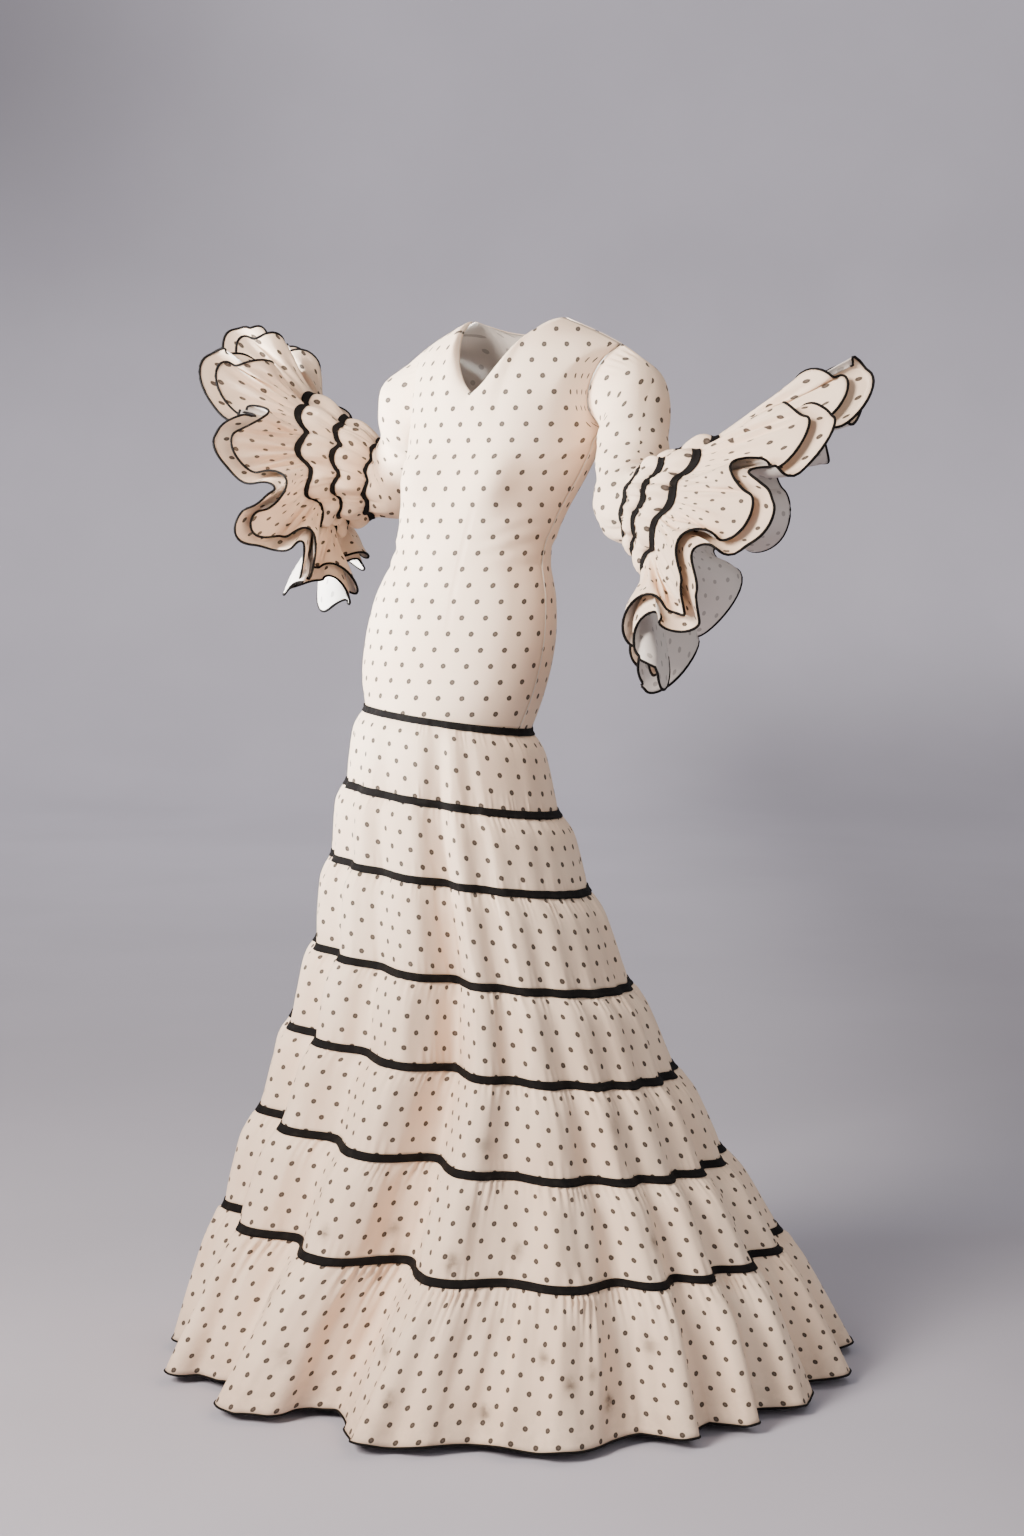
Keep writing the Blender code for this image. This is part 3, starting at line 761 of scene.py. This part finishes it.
def make_skirt_tape(number, above, below):
    points, around, along = below
    count = TIERS[number].columns
    wanted = even_columns(SKIRT[number], count)
    length = SKIRT[number].height - SKIRT[number + 1].height
    half = TAPE_WIDTH / 2
    seam = ring_points(SKIRT[number], wanted)
    low = nearest_rows(points, along, around, wanted, half / length)
    if above:
        last = SKIRT[number - 1].height - SKIRT[number].height
        high = nearest_rows(above[0], above[2], above[1], wanted, 1 - half / last)
    else:
        high = seam + np.array([0, 0, half])
        centre = np.array([SKIRT[0].x, SKIRT[0].y, 0])
        out = seam - centre
        out[:, 2] = 0
        high = high + unit(out) * 0.0020
    high, low = smoothed(high, 5), smoothed(low, 5)
    line = np.stack([high, mix((high + low) / 2, seam, 0.35), low])
    normal = grid_normals(line, True)
    place = np.arange(count) / count
    swell = 0.0002 * ripple(place, 300 + number, 20, 60, 9)
    line = line + normal * (0.0021 + swell[None, :, None])
    woven_tape(f"skirt_tape_{number + 1}", line)


def make_piping(points):
    edge = points[-1]
    piece = tube("cord_hem_piping", edge + np.array([0, 0, 0.0012]), 0.0016, TAPE)
    finish_piece(piece, "black_tape", "hem_piping")


# Bodice


def body_points(angle, height):
    """Points of the body's cloth below the armholes, for arrays of angles and heights."""
    table = curve_through([row[1:] for row in BODY], [row.height for row in BODY], height)
    x, y, half_width, front, back = table.T
    out = heading(angle)
    depth = np.where(out[:, 1] < 0, front, back)
    reach = 1.0 / ((out[:, 0] / half_width) ** 2 + (out[:, 1] / depth) ** 2) ** 0.5
    for cup in (-CUP_ANGLE, CUP_ANGLE):
        off = ((angle - cup) / CUP_HALF_ANGLE) ** 2 + ((height - CUP_HEIGHT) / CUP_HALF_HEIGHT) ** 2
        reach = reach + CUP_RISE * np.exp(-off)
    base = np.stack([x, y, height], -1)
    return base + out * reach[:, None]


def edge_rows(table, count):
    """The bodice's upper edge with count columns, smooth between its corners."""
    values = np.array(table, float)
    places = np.arange(len(table))
    at = np.linspace(0, len(table) - 1, count)
    found = np.zeros((count, 4))
    for first, last in zip(CORNERS, CORNERS[1:]):
        inside = (at >= first) & (at <= last)
        found[inside] = curve_through(values[first : last + 1], places[first : last + 1], at[inside])
    return found


def bodice_grid(table, side, count):
    """Half a bodice: rows from the top down, columns from the side seam to the middle."""
    edge = edge_rows(table, count)
    angle = edge[:, 0] * side
    first = SKIRT[0]
    rows = []
    low, high = BODY[0].height, BODY[-1].height
    for height in np.linspace(low, high, BODY_ROWS):
        points = body_points(angle, np.full(count, height))
        reach = (points - [first.x, first.y, 0]) @ heading(DIP_ANGLE)
        share = np.interp(height, [BODY[0].height, BODY[1].height, BODY[2].height], [1.0, 0.5, 0.0])
        points[:, 2] -= first.dip * reach * share
        rows.append(points)
    start = rows[-1]
    end = np.stack([MOUNT[0] + edge[:, 1] * side, MOUNT[1] + edge[:, 2], edge[:, 3]], -1)
    bend = mix(start, end, np.array(BEND))
    for share in np.linspace(0, 1, SHOULDER_ROWS + 1)[1:]:
        rows.append(mix(mix(start, bend, share), mix(bend, end, share), share))
    return np.stack(rows[::-1])


# Drag folds in the fitted cloth: angle, height, how far they run round and up, how deep, and their slant.
Crease = namedtuple("Crease", "angle height width tall depth slant")
CREASES = (
    Crease(60, 1.150, 26, 0.007, 0.0022, 0.30),
    Crease(72, 1.128, 24, 0.006, 0.0020, 0.10),
    Crease(52, 1.170, 22, 0.006, 0.0016, 0.45),
    Crease(-60, 1.146, 28, 0.007, 0.0022, -0.25),
    Crease(-75, 1.124, 24, 0.006, 0.0018, -0.05),
    Crease(-50, 1.172, 20, 0.006, 0.0015, -0.50),
    Crease(84, 1.285, 20, 0.007, 0.0022, 0.9),
    Crease(-84, 1.285, 20, 0.007, 0.0022, -0.9),
    Crease(30, 1.075, 40, 0.010, 0.0010, 0.12),
    Crease(-20, 1.050, 44, 0.010, 0.0010, -0.10),
    Crease(10, 0.985, 36, 0.010, 0.0009, 0.15),
    Crease(120, 1.150, 30, 0.007, 0.0022, -0.2),
    Crease(150, 1.135, 30, 0.007, 0.0022, 0.15),
    Crease(-120, 1.152, 30, 0.007, 0.0022, 0.2),
    Crease(-150, 1.130, 30, 0.007, 0.0022, -0.15),
    Crease(170, 1.165, 26, 0.006, 0.0018, 0.0),
    Crease(-165, 1.110, 30, 0.007, 0.0018, 0.1),
    Crease(110, 1.330, 20, 0.008, 0.0020, -1.0),
    Crease(-110, 1.330, 20, 0.008, 0.0020, 1.0),
)


def crease_depth(angle, height):
    found = np.zeros_like(height)
    for crease in CREASES:
        off = (angle - crease.angle + 180) % 360 - 180
        line = crease.height + crease.slant * np.radians(off) * 0.1
        side = (off / crease.width) ** 2
        up = (height - line) / crease.tall
        found -= crease.depth * np.exp(-(up**2) - side)
        found += crease.depth * 0.6 * np.exp(-((up - 1.7) ** 2) - side)
    return found


# The darts run from the hip to the bust in front, and to the shoulder blade behind
Dart = namedtuple("Dart", "angle low high")
DARTS = (
    Dart(26, 1.02, 1.225),
    Dart(-26, 1.02, 1.225),
    Dart(152, 1.02, 1.26),
    Dart(-152, 1.02, 1.26),
)
DART_DEPTH = 0.0012
DART_HALF_WIDTH = 0.0016
DART_FADE = 0.03
METRES_PER_DEGREE = 0.0021


def dart_groove(angle, height):
    found = np.zeros_like(height)
    for dart in DARTS:
        off = ((angle - dart.angle + 180) % 360 - 180) * METRES_PER_DEGREE
        span = smooth(height, dart.low, dart.low + DART_FADE)
        span = span * (1 - smooth(height, dart.high - DART_FADE, dart.high))
        found -= DART_DEPTH * span * np.exp(-((off / DART_HALF_WIDTH) ** 2))
    return found


def add_creases(points):
    """The bodice's cloth with its drag folds and its darts."""
    centre_x = np.interp(points[..., 2], [r.height for r in BODY], [r.x for r in BODY])
    centre_y = np.interp(points[..., 2], [r.height for r in BODY], [r.y for r in BODY])
    angle = np.degrees(np.arctan2(points[..., 0] - centre_x, -(points[..., 1] - centre_y)))
    normal = grid_normals(points, False)
    move = crease_depth(angle, points[..., 2]) + dart_groove(angle, points[..., 2])
    return points + normal * move[..., None]


def make_bodice():
    left, right = bodice_grid(FRONT_EDGE, 1, HALF_COLUMNS), bodice_grid(FRONT_EDGE, -1, HALF_COLUMNS)
    front = np.concatenate([left, right[:, -2::-1]], 1)
    front = front[:, ::-1]
    front = add_creases(front + np.array([0, -0.0007, 0]))
    panels = {"bodice_front": front}
    for name, side in (("bodice_back_left", 1), ("bodice_back_right", -1)):
        grid = bodice_grid(BACK_EDGE, side, HALF_COLUMNS) + np.array([side * 0.00015, 0.0007, 0])
        grid = grid if side > 0 else grid[:, ::-1]
        panels[name] = add_creases(grid)
    for name, points in panels.items():
        middle = points.shape[1] // 2
        uv = np.zeros((*points.shape[:2], 2))
        uv[..., 1] = -points[..., 2]
        across = np.linalg.norm(np.diff(points[..., :2], axis=1), axis=-1)
        across = np.concatenate([np.zeros((len(points), 1)), np.cumsum(across, 1)], 1)
        # The dots start at the middle of the front, and at one edge of each back
        anchor = {"bodice_front": middle, "bodice_back_left": 0, "bodice_back_right": -1}[name]
        uv[..., 0] = across - across[:, anchor, None]
        piece = cloth_sheet(name, points, uv, False)
    make_neck_stitches(panels)
    make_side_seams(panels)
    make_zip(panels)


def make_neck_stitches(panels):
    """Topstitching 5 mm inside the neckline."""
    for name, points in panels.items():
        row = 2
        line = points[row] + grid_normals(points, False)[row] * 0.0004
        reach = np.abs(line[:, 0] - MOUNT[0])
        line = line[reach < 0.074]
        thing = stitches(f"neck_stitches_{name}", line, 0.0042, 0.0030, 0.00035, THREAD)
        finish_piece(thing, "dotted_cotton")


def make_side_seams(panels):
    """The cord-like ridge of each closed side seam, from the underarm to the first tape."""
    front = panels["bodice_front"]
    for name, column, side in (("left", -1, 1), ("right", 0, -1)):
        line = front[::2, column] + np.array([side * 0.0001, 0.0007, 0])
        piece = tube(f"side_seam_{name}", line, 0.0009, THREAD, closed=False)
        finish_piece(piece, "dotted_cotton")


ZIP_LENGTH = 0.44


def make_zip(panels):
    """The closed zip: its tape, the coil down its middle and the slider at the top."""
    left = panels["bodice_back_left"]
    line = left[:, -1] if left[0, -1, 0] < left[0, 0, 0] else left[:, 0]
    line = line[line[:, 2] > BACK_EDGE[-1].height - ZIP_LENGTH].copy()
    line[:, 0] = np.interp(line[:, 2], [r.height for r in BODY], [r.x for r in BODY])
    along = (line[:, 2] - BODY[-1].height) / (line[0, 2] - BODY[-1].height)
    line[:, 0] = np.where(along > 0, mix(BODY[-1].x, MOUNT[0], np.clip(along, 0, 1)), line[:, 0])
    out = np.array([0, 0.0019, 0])
    half = 0.0045
    across = np.linspace(half, -half, 5)
    rows = line[:, None] + out + across[None, :, None] * np.array([1.0, 0, 0])
    rows[:, 1:4, 1] += 0.0004
    piece = grid_mesh("zip_tape_cloth", rows, ZIP, cloth_uv(rows, False), False)
    thicken(piece, TAPE_WALL)
    finish_piece(piece, "zip_tape", "back_zip")
    coil = tube("zip_coil", line + out + np.array([0, 0.0006, 0]), 0.0011, ZIP, closed=False)
    finish_piece(coil, "zip_tape")
    make_slider(line[0] + out + np.array([0, 0.0008, -0.006]), unit(line[3] - line[0]))


def make_slider(top, down):
    """The slider at the top of the closed zip, and its narrow pull that hangs flat on the cloth."""
    across, out = np.array([1.0, 0, 0]), np.array([0, 1.0, 0])
    parts = (
        ("zip_slider", ((0.0, 0.0030), (0.003, 0.0034), (0.007, 0.0022), (0.0085, 0.0014)), 0.0012),
        ("zip_pull", ((0.006, 0.0010), (0.009, 0.0013), (0.020, 0.0018), (0.024, 0.0012)), 0.0022),
    )
    for name, outline, lift in parts:
        middle = [top + down * drop + out * lift for drop, half in outline]
        edge = [across * half for drop, half in outline]
        rows = np.stack([np.add(middle, edge), middle, np.subtract(middle, edge)], 1)
        rows[:, 1] += out * 0.0005
        piece = grid_mesh(name, rows, METAL, cloth_uv(rows, False), False)
        thicken(piece, 0.0009)
        finish_piece(piece, "zip_tape")


# Sleeves


def face_of(cuff):
    face = np.array([cuff.face_x, cuff.face_y, cuff.face_z])
    return face / np.linalg.norm(face)


def cuff_points(cuff, side, share, wave=None):
    face = face_of(cuff)
    up = np.array([0, 0, 1]) - face * face[2]
    up /= np.linalg.norm(up)
    front = np.cross(face, up) * side
    turn = tau * share
    out = up * np.cos(turn)[:, None] + front * np.sin(turn)[:, None]
    place = up * (cuff.high * np.cos(turn))[:, None] + front * (cuff.wide * np.sin(turn))[:, None]
    height = cuff.wave if wave is None else wave
    phase = RUFFLE_WAVES * turn
    place = place + out * (height * np.cos(phase))[:, None]
    place = place + face * (height * 0.7 * np.sin(phase + 0.8 * np.sin(turn)))[:, None]
    place[:, 2] -= cuff.sag * np.sin(turn)
    return np.array([cuff.x, cuff.y, cuff.z]) + place


def sleeve_normals(points, side):
    return grid_normals(points, True) * -side


def armhole_loop(side, count):
    """The armhole's edge from the shoulder down the front and up the back."""
    fine = 24
    lines = []
    for table in (FRONT_EDGE, BACK_EDGE):
        values = np.array(table[:ARMHOLE_POINTS], float)[:, 1:]
        at = np.linspace(0, ARMHOLE_POINTS - 1, fine)
        lines.append(curve_through(values, np.arange(ARMHOLE_POINTS), at))
    loop = np.concatenate([lines[0][::-1], lines[1]])[:-1]
    loop = np.stack([MOUNT[0] + loop[:, 0] * side, MOUNT[1] + loop[:, 1], loop[:, 2]], -1)
    at = np.arange(count) / count * len(loop)
    closed = np.concatenate([loop, loop[:1]])
    return np.stack([np.interp(at, np.arange(len(closed)), closed[:, k]) for k in range(3)], -1)


def make_sleeve(name, side, rings, cuffs):
    columns, rows = SLEEVE_COLUMNS, SLEEVE_ROWS
    share = np.arange(columns) / columns
    lines = [armhole_loop(side, columns) + np.array([side * 0.0016, 0, 0])]
    lines += [cuff_points(ring, side, share) for ring in rings]
    lines.append(cuff_points(cuffs[0], side, share))
    lines = np.stack(lines)
    gaps = np.linalg.norm(np.diff(lines.mean(1), axis=0), axis=-1)
    places = np.concatenate([[0], np.cumsum(gaps)])
    at = np.linspace(0, places[-1], rows)
    points = curve_through(lines.reshape(len(lines), -1), places, at).reshape(rows, columns, 3)
    normal = sleeve_normals(points, side)
    along = at / places[-1]
    # Folds round the elbow, and soft ones down the upper arm
    turn = tau * share
    move = np.zeros(points.shape[:2])
    bend = np.exp(-((along - ELBOW) / ELBOW_REACH) ** 2)
    inner = 0.55 + 0.45 * np.cos(turn)
    down = along[:, None]
    round_elbow = np.sin(tau * (down * ELBOW_FOLDS + 0.25 * np.sin(turn)[None]))
    move += ELBOW_FOLD * bend[:, None] * inner[None] * round_elbow
    move += ARM_FOLD * np.sin(tau * (down * 5 + share[None] * 2)) * smooth(down, 0.12, 0.3)
    cap = np.exp(-((along - 0.05) / 0.05) ** 2)
    upper_half = np.clip(np.cos(turn), 0, 1)
    move += CAP_EASE * cap[:, None] * upper_half[None] * np.cos(tau * CAP_GATHERS * share)[None]
    tail = smooth(along, 0.86, 0.95) * (1 - smooth(along, 0.97, 1.0))
    move += CUFF_GATHER * tail[:, None] * gathers(share, 77 + side, 22)[None]
    move *= smooth(along, 0.0, 0.03)[:, None] * (1 - smooth(along, 0.97, 1.0))[:, None]
    points = points + normal * move[..., None]
    uv = cloth_uv(points, True)
    around = run_length(points[len(points) // 2], True)
    uv[..., 0] = around[None, :]
    piece = cloth_sheet(name, points, uv, True, flip=side > 0)
    return points


def ruffle_grid(upper, lower, side, columns, rows, puff=0.0, reach=1.0, curl=0.0, seed=0):
    """The cloth between two cuffs, up to reach times their distance, with looped edges where it curls."""
    share = np.arange(columns) / columns
    along = np.linspace(0, reach, rows)
    top, bottom = cuff_points(upper, side, share), cuff_points(lower, side, share)
    points = mix(top[None], bottom[None], along[:, None, None])
    centre = mix(np.array(upper[:3]), np.array(lower[:3]), along[:, None])
    out = unit(points - centre[:, None])
    points = points + out * (puff * (1 - np.abs(2 * along - 1) ** 1.8))[:, None, None]
    face = unit(mix(face_of(upper), face_of(lower), np.clip(along, 0, 1)[:, None]))
    if curl:
        # The edge turns over in loops: each wave is pushed out, and its sides swing under it
        grown = curl * smooth(along, 0.10, 1.05) ** 1.4
        swing = RUFFLE_WAVES * tau * share + 0.8 * np.sin(tau * share)
        fast = 2 * swing + 0.9 * ripple(share, seed, 2, 6)
        size = np.clip(1.0 + 0.40 * ripple(share, seed + 1, 3, 8), 0.4, 1.6)
        tangent = unit(np.roll(points, -1, 1) - np.roll(points, 1, 1))
        points = points + tangent * (grown[:, None] * (-1.15 * np.sin(2 * swing) * size)[None])[..., None]
        points = points + out * (grown[:, None] * (0.35 * np.sin(fast) * size)[None])[..., None]
        forward = 1.2 * np.sin(swing) * size + 0.35 * np.cos(fast)
        points = points + face[:, None] * (grown[:, None] * forward[None])[..., None]
    return points, share, along


def add_gathers(points, side, share, along, seed, height, reach, both):
    """Puckers under the upper seam, and above the lower one too where both are sewn."""
    normal = sleeve_normals(points, side)
    length = run_length(points[-1], True)[-1]
    count = max(round(length / RUFFLE_PITCH), 12)
    upper = smooth(along, 0.02, 0.10) * np.exp(-along / reach)
    move = height * gathers(share, seed, count)[None] * upper[:, None]
    if both:
        lower = np.exp(-(1 - along) / reach) * (1 - smooth(along, 0.92, 1.0))
        move = move + height * gathers(share, seed + 9, count)[None] * lower[:, None]
    rolls = ripple(share, seed + 4, count // 3, count // 2, 9)
    move = move + height * 0.9 * rolls[None] * np.sin(pi * np.clip(along, 0, 1))[:, None]
    return points + normal * move[..., None]


def make_cuffs(name, side, sleeve, cuffs):
    tiers = []
    for number in (1, 2):
        points, share, along = ruffle_grid(
            cuffs[number - 1], cuffs[number], side, CUFF_COLUMNS, CUFF_ROWS, puff=0.010
        )
        seed = 500 + number * 20 + side
        points = add_gathers(points, side, share, along, seed, height=0.0022, reach=0.35, both=True)
        tiers.append(points)
        ruffle_sheet(f"{name}_tier_{number}", points, side, (0.02, 0.01))
    outer, share, along = ruffle_grid(
        cuffs[2], cuffs[3], side, FLOUNCE_COLUMNS, OUTER_ROWS, curl=OUTER_CURL, seed=610 + side
    )
    outer = add_gathers(outer, side, share, along, 560 + side, height=0.0026, reach=0.30, both=False)
    ruffle_sheet(f"{name}_flounce_outer", outer, side, (0.0, 0.0))
    inner, share, along = ruffle_grid(
        cuffs[2],
        cuffs[3],
        side,
        FLOUNCE_COLUMNS,
        INNER_ROWS,
        reach=INNER_REACH,
        curl=INNER_CURL,
        seed=610 + side,
    )
    depth = mix(0.0022, INNER_DROP, along)
    inner = inner - sleeve_normals(inner, side) * depth[:, None, None]
    ruffle_sheet(f"{name}_flounce_inner", inner[1:], side, (0.01, 0.02))
    for layer, points in (("outer", outer), ("inner", inner)):
        edge = tube(f"binding_{name}_{layer}", points[-1], 0.0019, TAPE)
        finish_piece(edge, "black_tape")
    layers = [sleeve, *tiers, outer]
    for number, (above, below) in enumerate(zip(layers, layers[1:]), 1):
        make_sleeve_tape(f"{name}_tape_{number}", above, below, side)


def ruffle_sheet(node, points, side, start):
    uv = cloth_uv(points, True, start=start)
    piece = cloth_sheet(node, points, uv, True, flip=side > 0)


def resample_row(points, columns):
    at = np.arange(columns) / columns * points.shape[0]
    closed = np.concatenate([points, points[:1]])
    return np.stack([np.interp(at, np.arange(len(closed)), closed[:, k]) for k in range(3)], -1)


def row_at_distance(points, distance, from_end):
    """The line on a grid at a distance down its columns from its first or last row."""
    rows = points[::-1] if from_end else points
    steps = np.linalg.norm(np.diff(rows, axis=0), axis=-1).mean(1)
    places = np.concatenate([[0], np.cumsum(steps)])
    row = np.interp(distance, places, np.arange(len(places)))
    low = int(row)
    return mix(rows[low], rows[min(low + 1, len(rows) - 1)], row - low)


def make_sleeve_tape(name, above, below, side):
    half = TAPE_WIDTH / 2
    high = smoothed(resample_row(row_at_distance(above, half, True), CUFF_COLUMNS))
    seam = resample_row(below[0], CUFF_COLUMNS)
    low = smoothed(resample_row(row_at_distance(below, half, False), CUFF_COLUMNS))
    line = np.stack([high, mix((high + low) / 2, seam, 0.4), low])
    line = line + sleeve_normals(line, side) * 0.0018
    woven_tape(name, line, flip=side > 0)


# Camera, floor and light


def backdrop_painted_shade_material(name, colour, roughness):
    made, tree, shader = node_tree(name)
    solid = add(tree, "ShaderNodeTexCoord").outputs["Object"]
    mottled = ramp(tree, noise(tree, solid, 1.3, 4.0), 0.3, 0.7)
    lighter = tuple(c * 1.06 for c in colour)
    parts = add(tree, "ShaderNodeSeparateXYZ")
    tree.links.new(solid, parts.inputs[0])
    # Painted shade: the backdrop turns darker higher up
    high = ramp(tree, parts.outputs[2], -1.4, 4.3, 0.0, 0.42)
    tone = blend_colour(tree, mottled, colour, lighter)
    # The colour of the painted shade and the painted shadow on the backdrop
    darker = tuple(c * 0.30 for c in colour)
    tone = blend_colour(tree, high, tone, darker)
    # Painted shade in the upper corner on one side, and a painted shadow on the floor on the other
    azimuth = CAMERA["azimuth"]
    aside = maths(
        tree,
        "ADD",
        maths(tree, "MULTIPLY", parts.outputs[0], float(np.cos(azimuth))),
        maths(tree, "MULTIPLY", parts.outputs[1], float(np.sin(azimuth))),
    )
    above = ramp(tree, parts.outputs[2], 0.0, 2.0, 0.0, 0.72)
    # Painted shade: the upper corner on one side turns darker
    painted_corner_shade = maths(tree, "MULTIPLY", ramp(tree, aside, -0.5, -2.6), above)
    tone = blend_colour(tree, painted_corner_shade, tone, darker)
    # Painted shadow: the floor on the other side turns darker, where the dress casts its shadow
    below = ramp(tree, parts.outputs[2], -0.7, -1.44, 0.0, 0.50)
    painted_floor_shadow = maths(tree, "MULTIPLY", ramp(tree, aside, 0.3, 1.3), below)
    tree.links.new(blend_colour(tree, painted_floor_shadow, tone, darker), shader.inputs["Base Color"])
    shader.inputs["Roughness"].default_value = roughness
    shader.inputs["Specular IOR Level"].default_value = 0.1
    return made


# Angles in radians, and the focal length in pixels of the photograph's height
PHOTO_HEIGHT = 1536
CAMERA = {
    "azimuth": 0.6140,
    "distance": 4.0591,
    "height": 1.2023,
    "pitch": 0.0895,
    "yaw": 0.0111,
    "focal": 2869.8,
}


def make_camera():
    data = bpy.data.cameras.new("camera")
    data.sensor_fit = "VERTICAL"
    data.sensor_height = 36.0
    data.sensor_width = 24.0
    data.lens = CAMERA["focal"] / PHOTO_HEIGHT * data.sensor_height
    data.clip_end = 60.0
    camera = bpy.data.objects.new("camera", data)
    azimuth, pitch, yaw = CAMERA["azimuth"], CAMERA["pitch"], CAMERA["yaw"]
    towards = Vector((np.sin(azimuth), -np.cos(azimuth), 0.0))
    right = Vector((np.cos(azimuth), np.sin(azimuth), 0.0))
    place = towards * CAMERA["distance"] + Vector((0, 0, CAMERA["height"])) - Vector(MOUNT)
    level = -towards * np.cos(yaw) + right * np.sin(yaw)
    ahead = level * np.cos(pitch) - Vector((0, 0, 1)) * np.sin(pitch)
    camera.matrix_world = Matrix.Translation(place) @ ahead.to_track_quat("-Z", "Y").to_matrix().to_4x4()
    bpy.context.scene.collection.objects.link(camera)
    bpy.context.scene.camera = camera


FLOOR_BACK = 7.4


def make_stage():
    """A pale sheet that runs along the floor and curves up behind the dress."""
    floor_height = -MOUNT[2]
    sweep = [(-16.0, 0.0), (FLOOR_BACK, 0.0)]
    turn_radius = 2.4
    for step in range(1, 13):
        turn = step / 12 * pi / 2
        sweep.append((FLOOR_BACK + turn_radius * np.sin(turn), turn_radius * (1 - np.cos(turn))))
    sweep.append((FLOOR_BACK + turn_radius, 12.0))
    azimuth = CAMERA["azimuth"]
    back = np.array([-np.sin(azimuth), np.cos(azimuth)])
    side = np.array([np.cos(azimuth), np.sin(azimuth)])
    points = []
    for away, high in sweep:
        for across in (-18.0, 18.0):
            x, y = back * away + side * across - MOUNT[:2]
            points.append((x, y, floor_height + high))
    faces = [(2 * k, 2 * k + 1, 2 * k + 3, 2 * k + 2) for k in range(len(sweep) - 1)]
    mesh = bpy.data.meshes.new("backdrop")
    mesh.from_pydata(points, [], faces)
    mesh.shade_smooth()
    mesh.materials.append(backdrop_painted_shade_material("pale_backdrop", (0.412, 0.400, 0.462), 0.75))
    backdrop = bpy.data.objects.new("backdrop", mesh)
    bpy.context.scene.collection.objects.link(backdrop)
    world = bpy.data.worlds.new("studio")
    bpy.context.scene.world = world
    world.use_nodes = True
    world.node_tree.nodes["Background"].inputs["Color"].default_value = (0.50, 0.465, 0.465, 1)
    world.node_tree.nodes["Background"].inputs["Strength"].default_value = 0.45


def area_light(name, place, aim, size, power, colour, spread=180.0):
    data = bpy.data.lights.new(name, "AREA")
    data.shape = "RECTANGLE"
    data.size, data.size_y = size
    data.energy = power
    data.color = colour
    data.spread = np.radians(spread)
    light = bpy.data.objects.new(name, data)
    light.location = Vector(place)
    light.rotation_euler = (Vector(aim) - Vector(place)).to_track_quat("-Z", "Y").to_euler()
    bpy.context.scene.collection.objects.link(light)


def make_lights():
    area_light("key", (-0.75, -3.58, 1.4), (0.0, -0.1, -0.65), (1.5, 1.9), 385.0, (1.0, 0.910, 0.820))
    area_light("fill", (4.2, -1.6, 0.8), (0.0, 0.0, -0.7), (2.6, 2.6), 52.0, (1.0, 0.975, 0.96))
    azimuth = CAMERA["azimuth"]
    back = np.array([-np.sin(azimuth), np.cos(azimuth), 0.0])
    high, low = np.array([0, 0, 4.8]), np.array([0, 0, 0.2])
    area_light("backdrop", back * 5.0 + high, back * 9.6 + low, (12.0, 2.0), 620.0, (1.0, 0.965, 0.94))
    area_light("side", (-1.9, -2.3, -0.1), (-0.44, -0.02, -0.22), (0.5, 0.5), 26.0, (0.97, 1.0, 1.0), 34.0)
    area_light("rim", (1.0, 2.0, 2.2), (0.0, 0.0, -0.3), (1.6, 1.6), 30.0, (1.0, 0.98, 0.96))


make_camera()
make_stage()
make_lights()
make_skirt()
make_bodice()
for sleeve_name, sleeve_side, sleeve_rings, sleeve_cuffs in (
    ("sleeve_left", 1, LEFT_SLEEVE, LEFT_CUFFS),
    ("sleeve_right", -1, RIGHT_SLEEVE, RIGHT_CUFFS),
):
    upper_sleeve = make_sleeve(sleeve_name, sleeve_side, sleeve_rings, sleeve_cuffs)
    make_cuffs(sleeve_name, sleeve_side, upper_sleeve, sleeve_cuffs)
